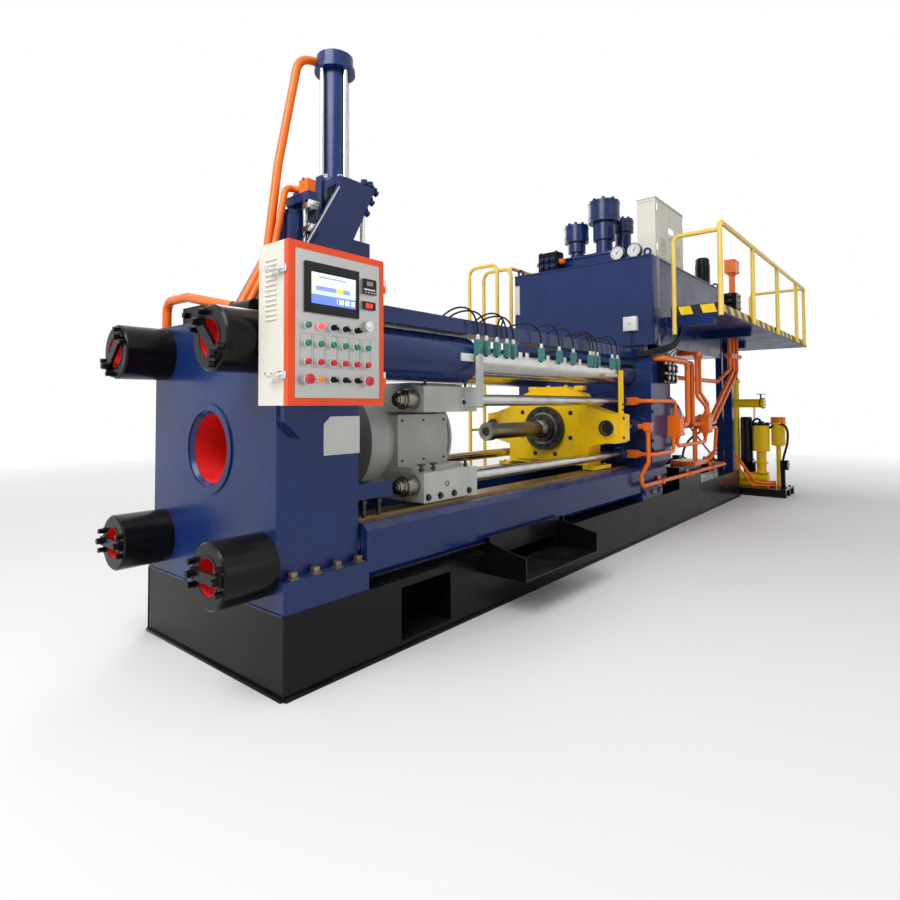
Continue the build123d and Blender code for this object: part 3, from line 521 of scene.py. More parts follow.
class PRESS_OT_finish_frame(bpy.types.Operator):
    """Make the finishes and put them on the CAD nodes"""

    bl_idname = "press.finish_frame"
    bl_label = "Finish the frame"

    def execute(self, context):
        look = context.scene.press_finishes
        enamel_group()
        metal_group()
        made = MATERIALS
        made["blue"] = coat("frame_blue", look.blue, rough=0.20, deep=0.5, gloss=0.10, shine=0.30)
        made["black"] = coat("base_black", look.black, rough=0.20, deep=0.5, dust=0.04, gloss=0.05,
                             shine=0.16)
        made["yellow"] = coat("crosshead_yellow", look.yellow, rough=0.24, deep=0.85, dust=0.03, shine=0.3)
        made["rail"] = coat("rail_yellow", look.rail, rough=0.30, deep=0.82)
        made["orange"] = coat("pipe_orange", look.orange, rough=0.24, deep=0.78, dust=0.03, shine=0.35)
        made["door"] = coat("door_orange", look.door, rough=0.36, deep=0.85, peel=420.0, bump=0.08)
        made["cream"] = coat("cabinet_cream", look.cream, rough=0.42, deep=0.86, dust=0.05, peel=420.0,
                             bump=0.08)
        made["silver"] = coat("container_silver", look.silver, rough=0.34, deep=0.62, dust=0.10)
        made["teal"] = coat("switch_teal", look.teal, rough=0.34, deep=0.7)
        made["red"] = coat("recess_red", look.red, rough=0.40, deep=0.7)
        made["filter"] = coat("filter_yellow", look.filter_yellow, rough=0.24, deep=0.85, dust=0.03, shine=0.3)
        made["white"] = coat("gauge_white", (0.72, 0.72, 0.70), rough=0.35, deep=0.85)
        made["steel"] = metal("bright_steel", (0.58, 0.58, 0.56), rough=0.11, stain=0.30)
        made["chrome"] = metal("polished_chrome", (0.75, 0.75, 0.76), rough=0.06, stain=0.06, bump=0.01)
        made["dark"] = metal("dark_steel", (0.060, 0.064, 0.062), rough=0.34, stain=0.4)
        made["bronze"] = metal("guide_bronze", (0.34, 0.22, 0.10), rough=0.28, stain=0.5)
        made["aluminium"] = metal("rail_aluminium", (0.70, 0.70, 0.68), rough=0.30, stain=0.2)
        made["stainless"] = metal("panel_stainless", (0.47, 0.47, 0.455), rough=0.34, stain=0.05, along=4.0,
                                  across=160.0)
        made["plastic"] = coat("black_plastic", (0.009, 0.009, 0.010), rough=0.40, deep=0.8, dust=0.03,
                               shine=0.25)
        made["wire"] = coat("black_rubber", (0.006, 0.007, 0.012), rough=0.45, deep=0.8, dust=0.03,
                            shine=0.25)
        made["rusty"] = metal("weathered_steel", (0.30, 0.24, 0.19), rough=0.45, stain=0.7)
        made["worn"] = metal("worn_steel", (0.30, 0.275, 0.225), rough=0.24, stain=0.5)
        made["green"] = coat("green_lens", (0.010, 0.22, 0.125), rough=0.20, deep=0.9, dust=0.0)
        made["red_button"] = coat("red_lens", (0.62, 0.012, 0.018), rough=0.25, deep=0.9, dust=0.0)
        made["amber"] = coat("amber_lens", (0.90, 0.30, 0.01), rough=0.20, deep=0.9, dust=0.0)
        made["red_lamp"] = lamp("lit_red_lens", (1.0, 0.045, 0.03), 2.2)
        made["level"] = coat("level_glass", (0.62, 0.60, 0.48), rough=0.10, deep=0.85, dust=0.0)
        made["screen"] = screen_glass("lit_screen")
        made["deck"] = coat("deck_navy", look.blue, rough=0.34, deep=0.4, dust=0.30, gloss=0.0, shine=0.12)
        made["hazard"] = hazard_paint("hazard_bars", (0.96, 0.66, 0.01), (0.008, 0.008, 0.008), 0.255,
                                      1.2)
        finishes = {
            "blue": ("front_platen", "upper_rod_sleeves", "lower_guide_beams", "cable_trough", "shear_bracket",
                     "shear_cylinder", "clamp_cylinder", "rear_platen", "main_cylinder", "side_cylinders",
                     "container_cylinders", "oil_tank_shell", "oil_tank_lid", "tank_hatch", "prefill_cylinders",
                     "platform_columns", "panel_bracket", "shear_block"),
            "deck": ("service_platform",),
            "black": ("base_near_beam", "base_far_beam", "base_cross_members", "base_step_tray", "tie_rod_nuts",
                      "nut_keeper_bars", "pump_skid", "pump_units", "valve_blocks"),
            "steel": ("tie_rods", "shear_guide_rods", "container_rods", "shear_rod", "main_ram", "side_rods",
                      "shear_blade"),
            "worn": ("container_rod_nuts", "ram_stem"),
            "dark": ("die_holder", "stem_clamp_ring"),
            "bronze": ("guide_strips", "container_shoes"),
            "silver": ("container_housing", "container_striker"),
            "yellow": ("crosshead", "crosshead_striker"),
            "cream": ("electrical_cabinet", "control_panel_box"),
            "door": ("panel_door",),
            "rail": ("near_handrail", "far_handrail"),
            "hazard": ("toe_boards",),
            "aluminium": ("limit_switch_rail", "speed_knob"),
            "stainless": ("panel_controls",),
            "orange": ("pressure_pipes", "manifold_blocks"),
            "filter": ("return_filters",),
            "teal": ("limit_switches",),
            "white": ("tank_gauges",),
        }
        for finish, names in finishes.items():
            for name in names:
                node = NODES[name]
                node.data.materials.clear()
                node.data.materials.append(made[finish])
        return {"FINISHED"}


class PRESS_OT_add_nut_fittings(bpy.types.Operator):
    """Add the red recesses and the keeper bolts of the tie rod nuts"""

    bl_idname = "press.add_nut_fittings"
    bl_label = "Tie rod nut fittings"

    NUT_X = -3.744
    RECESS_DEPTH = 0.060
    RECESS_R = 0.0755
    BAR_X = -3.760
    BAR_BOLT_R = 0.098
    STUD_R = 0.116
    REAR_NUT_X = 0.920

    def execute(self, context):
        liners, bolts, rims = bmesh.new(), bmesh.new(), bmesh.new()
        size = context.scene.press_sizes.bolt
        for y, z in ROD_PLACES:
            self.line_recess(liners, y, z)
            ring(rims, vec(self.NUT_X + 0.0005, y, z), MINUS_X, 0.0765, 0.084, 0.003)
            tilt = 0.0 if z < AXIS_Z else math.copysign(math.pi / 4, -y)
            outer = 0.0 if y > 0 else math.pi
            for end in (0.0, math.pi):
                turn = tilt + outer + end
                ahead = vec(0, math.cos(turn), math.sin(turn))
                place = vec(self.BAR_X, y, z) + ahead * self.BAR_BOLT_R
                hex_head(bolts, place, MINUS_X, size * 1.15, size * 1.5)
                for aside in (-0.42, 0.42):
                    ahead = vec(0, math.cos(turn + aside), math.sin(turn + aside))
                    place = vec(self.NUT_X, y, z) + ahead * self.STUD_R
                    hex_head(bolts, place, MINUS_X, size * 0.95, size * 1.9)
        for y, z in ROD_PLACES:
            hex_heads(bolts, bolt_circle(self.REAR_NUT_X, y, z, 0.117, 6, 0.4), PLUS_X, size * 0.8)
        place_piece(liners, "nut_recess_liners", "root", "red")
        place_piece(rims, "nut_recess_rims", "root", "black")
        place_piece(bolts, "nut_keeper_bolts", "root", "black")
        return {"FINISHED"}

    def line_recess(self, bm, y, z):
        back = vec(self.NUT_X + self.RECESS_DEPTH, y, z)
        outer, inner, deep = self.RECESS_R, self.RECESS_R - 0.0015, self.RECESS_DEPTH - 0.001
        spun(bm, [(0, 0.0005), (outer, 0.0005), (outer, deep), (inner, deep), (inner, 0.004), (0.030, 0.004),
                  (0.026, 0.009), (0.010, 0.009), (0.008, 0.002), (0, 0.002)], back, MINUS_X, sides=40)


class PRESS_OT_add_front_fittings(bpy.types.Operator):
    """Add the exit liner, foot bolts, jack bolts and plates of the front platen"""

    bl_idname = "press.add_front_fittings"
    bl_label = "Front platen fittings"

    EXIT_R = 0.166
    FOOT_X = (-3.434, -3.319, -3.197, -3.074)
    FOOT_TOP_Z = 0.474
    FOOT_Y = 0.586
    JACK_X, JACK_Y, JACK_Z0, JACK_Z1 = -2.978, 0.520, 0.656, 0.752

    def execute(self, context):
        liner = bmesh.new()
        inner, outer = self.EXIT_R - 0.002, self.EXIT_R - 0.0005
        spun(liner, [(inner, 0), (outer, 0), (outer, 0.430), (inner, 0.430), (inner, 0)],
             vec(-3.481, 0, AXIS_Z), PLUS_X, 64)
        ring(liner, vec(-3.0515, 0, AXIS_Z), MINUS_X, 0.0905, 0.163, 0.004, sides=64)
        place_piece(liner, "profile_exit_liner", "root", "red")
        bolts = bmesh.new()
        for side in (-1, 1):
            for x in self.FOOT_X:
                low = vec(x - 0.021, side * self.FOOT_Y - 0.021, self.FOOT_TOP_Z)
                block(bolts, low, low + vec(0.042, 0.042, 0.006), 0.001)
                block(bolts, low + vec(0.006, 0.006, 0.006), low + vec(0.036, 0.036, 0.030), 0.003)
        place_piece(bolts, "platen_foot_bolts", "root", "rusty")
        jacks = bmesh.new()
        for side in (-1, 1):
            for x in (self.JACK_X, self.JACK_X + 0.10):
                place = vec(x, side * self.JACK_Y, self.JACK_Z0)
                rod(jacks, place, PLUS_Z, self.JACK_Z1 - self.JACK_Z0, 0.011, sides=16)
                hex_head(jacks, place + vec(0, 0, 0.022), PLUS_Z, 0.019, 0.014, washer=False)
                hex_head(jacks, place + vec(0, 0, 0.070), PLUS_Z, 0.019, 0.014, washer=False)
        place_piece(jacks, "guide_stop_jacks", "root", "dark")
        flange = bmesh.new()
        block(flange, (-3.515, -0.620, 0), (-3.4995, 0.620, 0.012), 0.002)
        for y in (-0.6198, 0.6198):
            rod(flange, vec(-3.4999, y, 0.012), PLUS_Z, 0.326, 0.004, sides=8)
        place_piece(flange, "base_front_flange", "root", "black")
        self.add_plate()
        self.add_welds()
        return {"FINISHED"}

    def add_plate(self):
        bare = bmesh.new()
        plate(bare, [(-3.255, 0.978), (-3.042, 0.978), (-3.042, 1.153), (-3.217, 1.153), (-3.255, 1.120)],
              -0.5602, 0.0012)
        place_piece(bare, "bare_plate", "root", "stainless")
        rivets = bmesh.new()
        for x, z in ((-3.247, 0.986), (-3.050, 0.986), (-3.050, 1.145), (-3.211, 1.145)):
            spun(rivets, [(0, 0), (0.0030, 0), (0.0024, 0.0012), (0, 0.0018)], vec(x, -0.5614, z),
                 MINUS_Y, 10)
        place_piece(rivets, "bare_plate_rivets", "root", "steel")

    def add_welds(self):
        beads = bmesh.new()
        for start, end in (((-3.490, -0.5615, 1.135), (-3.490, -0.5615, 1.250)),
                           ((-3.490, -0.5615, 1.135), (-3.410, -0.5615, 1.064)),
                           ((-3.410, -0.5615, 1.064), (-3.250, -0.5615, 1.160)),
                           ((-3.250, -0.5615, 1.160), (-3.180, -0.5615, 1.250))):
            start, end = Vector(start), Vector(end)
            run = end - start
            count = int(run.length / 0.010)
            for index in range(count):
                rod(beads, start + run * (index / count), run, 0.011, 0.0052, tip=0.0034, sides=8)
        for side in (-1, 1):
            for x in (-3.502, -3.028):
                rod(beads, vec(x, side * 0.614, 0.3415), vec(0, -side, 0), 0.40, 0.0045, sides=8)
        place_piece(beads, "bracket_weld_beads", "root", "blue")


class PRESS_OT_add_panel_face(bpy.types.Operator):
    """Add the screen, displays, lamps, buttons and caps of the operator panel"""

    bl_idname = "press.add_panel_face"
    bl_label = "Operator panel face"

    FACE_Y = -0.803
    BEZEL_Y = -0.811
    COLUMNS = [-3.532 + 0.062 * index for index in range(6)]
    ROW_TOP, ROW_GREEN, ROW_RED, ROW_LOW = 1.516, 1.446, 1.374, 1.306
    BUTTON_Y = -0.823
    KNOB_Z = 1.540

    def execute(self, context):
        self.add_screen()
        self.add_buttons()
        self.add_selectors()
        self.add_outlines()
        self.add_trim()
        return {"FINISHED"}

    def add_screen(self):
        y = self.BEZEL_Y
        bezel = bmesh.new()
        for x0, x1, z0, z1 in ((-3.539, -3.515, 1.567, 1.768), (-3.287, -3.268, 1.567, 1.768),
                               (-3.515, -3.287, 1.567, 1.605), (-3.515, -3.287, 1.729, 1.768)):
            block(bezel, (x0, y - 0.004, z0), (x1, y, z1), 0.0012)
        for x0, x1, z0, z1 in ((-3.248, -3.169, 1.680, 1.746), (-3.248, -3.174, 1.613, 1.648)):
            block(bezel, (x0, y - 0.003, z0), (x1, y, z1), 0.0012)
        block(bezel, (-3.5391, y, 1.5669), (-3.5389, self.FACE_Y, 1.7681))
        place_piece(bezel, "panel_bezels", "panel_door", "plastic")
        glass = bmesh.new()
        block(glass, (-3.515, y - 0.0015, 1.605), (-3.287, y, 1.729))
        place_piece(glass, "panel_screen", "panel_door", "screen")
        digits = bmesh.new()
        self.add_digits(digits, -3.212, -0.8146, 1.630, 0.018)
        place_piece(digits, "panel_red_digits", "panel_door", "red_lamp")
        strips = bmesh.new()
        self.add_digits(strips, -3.208, -0.8146, 1.726, 0.016)
        block(strips, (-3.240, y - 0.0038, 1.696), (-3.177, y - 0.0028, 1.703), 0.0003)
        for index in range(4):
            x = -3.236 + 0.017 * index
            block(strips, (x, y - 0.0038, 1.685), (x + 0.009, y - 0.0028, 1.690), 0.0003)
        place_piece(strips, "panel_meter_marks", "panel_door", "white")

    def add_digits(self, bm, middle_x, y, z, height):
        """Three blank segment digits, all segments alike."""
        width, line = height * 0.5, height * 0.11
        for index in range(3):
            x = middle_x + (index - 1) * width * 1.5
            for level in (-0.5, 0.0, 0.5):
                block(bm, (x - width * 0.36, y, z + height * level - line / 2),
                      (x + width * 0.36, y + 0.0008, z + height * level + line / 2))
            for aside in (-0.42, 0.42):
                for level in (-0.25, 0.25):
                    block(bm, (x + width * aside - line / 2, y, z + height * (level - 0.19)),
                          (x + width * aside + line / 2, y + 0.0008, z + height * (level + 0.19)))

    def cap(self, bm, x, z):
        spun(bm, [(0, 0), (0.0112, 0), (0.0112, -0.009), (0.0122, -0.0095), (0.0122, 0.0035),
                  (0.0108, 0.0055), (0, 0.0062)], vec(x, self.BUTTON_Y, z), MINUS_Y, 24)

    def add_buttons(self):
        rims = bmesh.new()
        for row, columns in ((self.ROW_GREEN, self.COLUMNS), (self.ROW_RED, self.COLUMNS),
                             (self.ROW_TOP, self.COLUMNS[:5]), (self.ROW_LOW, self.COLUMNS[1:5])):
            for x in columns:
                ring(rims, vec(x, self.FACE_Y, row), MINUS_Y, 0.0112, 0.0148, 0.0105, 24, 0.002)
        place_piece(rims, "panel_button_rims", "panel_door", "chrome")
        for name, finish, slot, places in (
                ("panel_green_buttons", "green", "switch_teal",
                 [(self.COLUMNS[0], self.ROW_TOP)] + [(x, self.ROW_GREEN) for x in self.COLUMNS]),
                ("panel_red_buttons", "red_button", "door_orange", [(x, self.ROW_RED) for x in self.COLUMNS]),
                ("panel_lit_lamp", "red_lamp", "door_orange", [(self.COLUMNS[1], self.ROW_TOP)]),
                ("panel_amber_lamp", "amber", "pipe_orange", [(self.COLUMNS[1], self.ROW_LOW)])):
            caps = bmesh.new()
            for x, z in places:
                self.cap(caps, x, z)
            place_piece(caps, name, "panel_door", finish)
        stops, collars = bmesh.new(), bmesh.new()
        for x in (self.COLUMNS[0], self.COLUMNS[5]):
            spun(stops, [(0, 0), (0.0204, 0), (0.0210, 0.003), (0.0210, 0.009), (0.0195, 0.0125),
                         (0.013, 0.0145), (0, 0.0152)], vec(x, -0.8245, self.ROW_LOW), MINUS_Y, 32)
            ring(collars, vec(x, self.FACE_Y, self.ROW_LOW), MINUS_Y, 0.0122, 0.0175, 0.014, 24, 0.002)
        place_piece(stops, "panel_stop_buttons", "panel_door", "red_button")
        place_piece(collars, "panel_stop_collars", "panel_door", "chrome")

    def add_selectors(self):
        knobs, marks = bmesh.new(), bmesh.new()
        for row in (self.ROW_TOP, self.ROW_LOW):
            for x in self.COLUMNS[2:5]:
                self.cap(knobs, x, row)
                place = Matrix.Translation((x, self.BUTTON_Y - 0.0135, row))
                place = place @ Matrix.Rotation(-0.7, 4, "Y")
                turned_block(knobs, (0.0085, 0.015, 0.024), place, 0.0018)
                tip = Matrix.Translation((0, -0.0077, 0.006))
                turned_block(marks, (0.0014, 0.0004, 0.009), place @ tip)
        place_piece(knobs, "panel_selectors", "panel_door", "plastic")
        place_piece(marks, "panel_selector_marks", "panel_door", "white")

    def add_outlines(self):
        lines = bmesh.new()
        y0, y1 = self.FACE_Y - 0.0004, self.FACE_Y + 0.0001
        for x in self.COLUMNS:
            for x0, x1, z0, z1 in ((-0.0270, -0.0262, 1.353, 1.484), (0.0262, 0.0270, 1.353, 1.484),
                                   (-0.0270, 0.0270, 1.353, 1.3538), (-0.0270, 0.0270, 1.4832, 1.484)):
                block(lines, (x + x0, y0, z0), (x + x1, y1, z1))
        place_piece(lines, "panel_row_outlines", "panel_door", "plastic")

    def add_trim(self):
        louvres = bmesh.new()
        for index in range(13):
            place = Matrix.Translation((-3.6125, -0.6885, 1.539 + 0.0196 * index))
            turned_block(louvres, (0.008, 0.075, 0.008), place @ Matrix.Rotation(0.5, 4, "Y"), 0.0018)
        place_piece(louvres, "panel_louvres", "root", "cream")
        latches = bmesh.new()
        for z in (1.730, 1.320):
            block(latches, (-3.620, -0.792, z - 0.015), (-3.6122, -0.738, z + 0.015), 0.003)
            rod(latches, vec(-3.6122, -0.757, z), MINUS_X, 0.022, 0.011, sides=20, edge=0.002)
            block(latches, (-3.642, -0.768, z - 0.007), (-3.630, -0.700, z + 0.007), 0.003)
            rod(latches, vec(-3.628, -0.706, z), MINUS_X, 0.020, 0.010, sides=20, edge=0.002)
        place_piece(latches, "panel_latches", "panel_door", "chrome")
        # A cream sheet fills the gap between the panel box and its door; its lit edge gives the pale strip
        # along the door's edge, a painted highlight.
        edge_highlight_sheet = bmesh.new()
        block(edge_highlight_sheet, (-3.611, -0.7745, 1.204), (-3.115, -0.7725, 1.841))
        place_piece(edge_highlight_sheet, "panel_door_edge_highlight", "root", "cream")
        grip = bmesh.new()
        x = self.COLUMNS[5]
        for place in side_circle(x, -0.806, self.KNOB_Z, 0.0218, 24):
            rod(grip, place, MINUS_Y, 0.021, 0.0016, sides=6)
        rod(grip, vec(x, -0.829, self.KNOB_Z), MINUS_Y, 0.004, 0.013, sides=24, edge=0.001)
        place_piece(grip, "speed_knob_grip", "speed_knob", "aluminium")


class PRESS_OT_add_shear_fittings(bpy.types.Operator):
    """Add the studs, bolts, lugs and leads of the shear"""

    bl_idname = "press.add_shear_fittings"
    bl_label = "Shear fittings"

    X = -2.740
    CAP_Z = 3.240
    FLANGE_Z = 3.172
    DECK_TOP = 2.455
    PLATE_Y = 0.200
    CLAMP_X, CLAMP_Y = -3.000, -0.0875

    def execute(self, context):
        size = context.scene.press_sizes.bolt
        studs, foot_bolts, lumps = bmesh.new(), bmesh.new(), bmesh.new()
        hex_heads(studs, deck_circle(self.X, 0, self.CAP_Z, 0.070, 4, 0.78), PLUS_Z, size, 0.014)
        hex_heads(studs, deck_circle(self.X, 0, self.FLANGE_Z, 0.10764, 4), PLUS_Z, size * 0.75,
                  washer=False)
        foot_z = self.DECK_TOP + 0.040
        hex_heads(foot_bolts, deck_circle(self.X, 0, foot_z, 0.098, 8, 0.39), PLUS_Z, size, 0.020)
        for y in (-0.150, 0.150):
            hex_head(studs, vec(-2.660, y, self.DECK_TOP), PLUS_Z, 0.024, 0.022)
        ring(lumps, vec(self.X, 0, foot_z), PLUS_Z, 0.0662, 0.0765, 0.6515, 64, 0.001)
        for side in (-1, 1):
            low = vec(-2.811, side * self.PLATE_Y, 2.060)
            high = vec(-2.612, side * self.PLATE_Y, self.DECK_TOP)
            for along in (0.62, 0.80, 0.96):
                hex_head(lumps, low.lerp(high, along), vec(0.893, 0, -0.449), size * 1.5, 0.026)
            for x in (-2.690, -2.645):
                hex_head(lumps, vec(x, side * self.PLATE_Y, self.DECK_TOP), PLUS_Z, size * 1.5, 0.026)
        ring(lumps, vec(self.CLAMP_X, self.CLAMP_Y, 2.341), PLUS_Z, 0.016, 0.026, 0.0065, 24)
        for x in (self.CLAMP_X - 0.022, self.CLAMP_X + 0.022):
            hex_head(studs, vec(x, self.CLAMP_Y, 2.420), PLUS_Z, size * 0.6)
        place_piece(studs, "shear_studs", "root", "dark")
        place_piece(foot_bolts, "shear_foot_bolts", "root", "steel")
        place_piece(lumps, "shear_bracket_bolts", "root", "blue")
        # A thin bright steel bar along the sloping front edge of the near bracket plate.
        edge = bmesh.new()
        for low, high in (((-3.317, -0.212, 1.622), (-3.080, -0.212, 2.054)),
                          ((-3.080, -0.212, 2.054), (-2.880, -0.212, 2.390))):
            run = Vector(high) - Vector(low)
            rod(edge, vec(*low), run, run.length, 0.0042, sides=8)
        place_piece(edge, "shear_bracket_edge_bar", "root", "steel")
        sensors = bmesh.new()
        for z in (2.135, 2.262):
            block(sensors, (-3.030, -0.150, z - 0.006), (-2.970, -0.1355, z + 0.036), 0.003)
            block(sensors, (-3.024, -0.170, z + 0.004), (-2.976, -0.150, z + 0.026), 0.004)
        place_piece(sensors, "clamp_sensors", "root", "white")
        tubes("clamp_sensor_leads", "root", "plastic",
              [[(-3.000, -0.172, 2.277), (-3.030, -0.260, 2.250), (-3.110, -0.250, 2.120),
                (-3.170, -0.235, 1.960), (-3.230, -0.218, 1.800), (-3.290, -0.219, 1.640),
                (-3.290, -0.219, 1.618)],
               [(-3.000, -0.172, 2.150), (-3.040, -0.270, 2.060), (-3.140, -0.250, 1.900),
                (-3.250, -0.225, 1.740), (-3.310, -0.222, 1.640), (-3.310, -0.222, 1.618)]], 0.0035)
        slide = bmesh.new()
        for y in (-0.110, 0.110):
            for z in (1.965, 2.045):
                hex_head(slide, vec(-2.8300, y, z), MINUS_X, size * 1.1, 0.012)
        place_piece(slide, "shear_slide_bolts", "shear", "dark")
        return {"FINISHED"}


class PRESS_OT_add_container_fittings(bpy.types.Operator):
    """Add the slotted nuts, threads, bolts and screws of the container"""

    bl_idname = "press.add_container_fittings"
    bl_label = "Container fittings"

    LUG_Y, PAD_Y = 0.530, 0.5385
    ROD_END_X = -2.685
    NUT_END_X = -2.640
    REAR_X = -2.040

    def execute(self, context):
        size = context.scene.press_sizes.bolt
        nuts, dark, silver = bmesh.new(), bmesh.new(), bmesh.new()
        for y, z in SHIFT_PLACES:
            ring(nuts, vec(self.NUT_END_X, y, z), MINUS_X, 0.0372, 0.046, 0.012, 40, 0.003)
            half = vec(0.012, 0.006, 0.006)
            for place in bolt_circle(self.NUT_END_X + 0.018, y, z, 0.0555, 4, math.pi / 4):
                block(dark, place - half, place + half, 0.001)
            for index in range(6):
                thread_x = self.ROD_END_X + 0.006 + 0.006 * index
                ring(nuts, vec(thread_x, y, z), PLUS_X, 0.0365, 0.0385, 0.003, 40)
            rod(nuts, vec(self.ROD_END_X, y, z), MINUS_X, 0.006, 0.027, tip=0.024, sides=32)
            hex_head(nuts, vec(self.ROD_END_X - 0.006, y, z), MINUS_X, 0.013, 0.008, washer=False)
        place_piece(nuts, "container_rod_threads", "container", "worn")
        for side in (-1, 1):
            out = vec(0, side, 0)
            for x in (-2.520, -2.420, -2.300, -2.160):
                hex_head(dark, vec(x, side * self.LUG_Y, 0.700), out, size * 1.1, 0.012)
            ring(dark, vec(-2.360, side * self.LUG_Y, 0.760), out, 0.011, 0.016, 0.002, 24)
            for x in (-2.520, -2.420, -2.130):
                y = side * 0.480
                rod(dark, vec(x, y, 0.835), PLUS_Z, 0.034, 0.009, sides=16)
                hex_head(dark, vec(x, y, 0.842), PLUS_Z, 0.017, 0.012, washer=False)
                block(dark, (x - 0.024, y - 0.008, 0.869), (x + 0.024, y + 0.008, 0.881), 0.003)
            for x in (-2.500, -2.140):
                y = side * 0.490
                rod(dark, vec(x, y, 1.310), PLUS_Z, 0.026, 0.008, sides=16)
                block(dark, (x - 0.020, y - 0.007, 1.334), (x + 0.020, y + 0.007, 1.345), 0.003)
            for x in (-2.500, -2.320, -2.135):
                for z in (0.885, 1.115):
                    rod(dark, vec(x, side * 0.312, z), out, 0.004, 0.008, sides=12)
            low, high = sorted((side * self.LUG_Y, side * self.PAD_Y))
            block(silver, (-2.235, low, 1.190), (-2.130, high, 1.250), 0.003)
            for x in (-2.218, -2.148):
                hex_head(dark, vec(x, side * self.PAD_Y, 1.220), out, size * 0.75, 0.009)
        hex_heads(dark, bolt_circle(self.REAR_X, 0, AXIS_Z, 0.255, 8, 0.39), PLUS_X, size * 1.2, 0.012)
        for x in (-2.530, -2.105):
            rod(silver, vec(x, -0.5298, 1.235), MINUS_Y, 0.0035, 0.012, sides=20)
        block(silver, (-2.470, -0.450, 1.3098), (-2.170, -0.330, 1.330), 0.004)
        block(silver, (-2.470, 0.330, 1.3098), (-2.170, 0.450, 1.330), 0.004)
        place_piece(dark, "container_bolts", "container", "dark")
        place_piece(silver, "container_pads", "container", "silver")
        striker_tip = bmesh.new()
        block(striker_tip, (-2.2055, -0.650, 1.4898), (-2.1705, -0.636, 1.4975), 0.001)
        place_piece(striker_tip, "container_striker_tip", "container", "silver")
        return {"FINISHED"}


class PRESS_OT_add_crosshead_fittings(bpy.types.Operator):
    """Add the bolts, the ring steps, the side rod ends and the lifting lugs of the crosshead"""

    bl_idname = "press.add_crosshead_fittings"
    bl_label = "Crosshead fittings"

    FACE_X = -0.380
    RING_X = -0.425
    COLLAR_X = -0.470
    DUMMY_X = -1.195
    BOLTS = ((0.239, 1.138), (0.241, 0.929), (0.108, 0.774), (-0.092, 0.778), (-0.245, 1.134),
             (-0.242, 0.921))

    def execute(self, context):
        size = context.scene.press_sizes.bolt
        dark, steel, yellow = bmesh.new(), bmesh.new(), bmesh.new()
        for y, z in self.BOLTS:
            rod(dark, vec(self.FACE_X + 0.0002, y, z), MINUS_X, 0.0012, 0.0205, sides=24)
            cap_screw(dark, vec(self.FACE_X, y, z), MINUS_X, 0.0135)
        for place in bolt_circle(self.RING_X, 0, AXIS_Z, 0.158, 12, 0.26):
            cap_screw(dark, place, MINUS_X, 0.0125)
        for place in bolt_circle(self.COLLAR_X, 0, AXIS_Z, 0.098, 8, 0.1):
            cap_screw(dark, place, MINUS_X, 0.0085)
        ring(steel, vec(self.RING_X, 0, AXIS_Z), MINUS_X, 0.121, 0.138, 0.010, 64, 0.003)
        spun(steel, [(0.0625, 0), (0.084, 0), (0.078, 0.020), (0.0665, 0.050), (0.0625, 0.052), (0.0625, 0)],
             vec(self.COLLAR_X, 0, AXIS_Z), MINUS_X, 64)
        spun(steel, [(0.0695, 0), (0.0700, 0.002), (0.0700, 0.066), (0.066, 0.0715), (0.036, 0.0715),
                     (0.032, 0.070), (0.0695, 0.0695)], vec(self.DUMMY_X, 0, AXIS_Z), MINUS_X, 48)
        ring(steel, vec(self.DUMMY_X, 0, AXIS_Z), PLUS_X, 0.0622, 0.066, 0.016, 48, 0.002)
        # A thin dark disc over the middle of the dummy block's face: painted shade of its centre hole.
        rod(dark, vec(-1.2650, 0, AXIS_Z), MINUS_X, 0.0008, 0.034, sides=40)
        for side in (-1, 1):
            ring(dark, vec(self.FACE_X, side * SIDE_Y, SIDE_Z), MINUS_X, 0.047, 0.066, 0.006, 40, 0.002)
            rod(dark, vec(self.FACE_X + 0.019, side * SIDE_Y, SIDE_Z), MINUS_X, 0.012, 0.044, sides=32)
            hex_head(dark, vec(self.FACE_X + 0.007, side * SIDE_Y, SIDE_Z), MINUS_X, 0.025, 0.018)
            for z in (0.930, 1.090):
                hex_head(dark, vec(-0.255, side * 0.664, z), vec(0, side, 0), size * 0.8, 0.009)
            y = side * 0.235
            block(yellow, (-0.215, y - 0.045, 1.330), (-0.145, y + 0.045, 1.372), 0.006)
        for y, z in ((-0.632, 1.160), (-0.632, 1.205)):
            hex_head(dark, vec(-0.223, y - 0.015, z), MINUS_Y, size * 0.6, 0.007)
        for y in (-0.090, 0.090):
            rod(yellow, vec(-0.170, y, 1.3649), PLUS_Z, 0.016, 0.017, sides=20, edge=0.003)
        ring(steel, vec(-0.130, 0, AXIS_Z), PLUS_X, 0.2305, 0.262, 0.020, 64, 0.004)
        hex_heads(dark, bolt_circle(-0.129, 0, AXIS_Z, 0.290, 12, 0.2), PLUS_X, size * 0.9, 0.010)
        place_piece(dark, "crosshead_bolts_and_hole_shade", "crosshead", "dark")
        place_piece(steel, "stem_rings", "crosshead", "worn")
        place_piece(yellow, "crosshead_lugs", "crosshead", "yellow")
        bronze = bmesh.new()
        for side in (-1, 1):
            y0, y1 = sorted((side * 0.372, side * 0.478))
            block(bronze, (-0.4095, y0, 0.6605), (-0.1005, y1, 0.6625), 0.0005)
            for x in (-0.396, -0.114):
                hex_head(bronze, vec(x, side * 0.425, 0.690), PLUS_Z, size * 0.8, 0.009)
        place_piece(bronze, "crosshead_shoe_plates", "crosshead", "bronze")
        return {"FINISHED"}


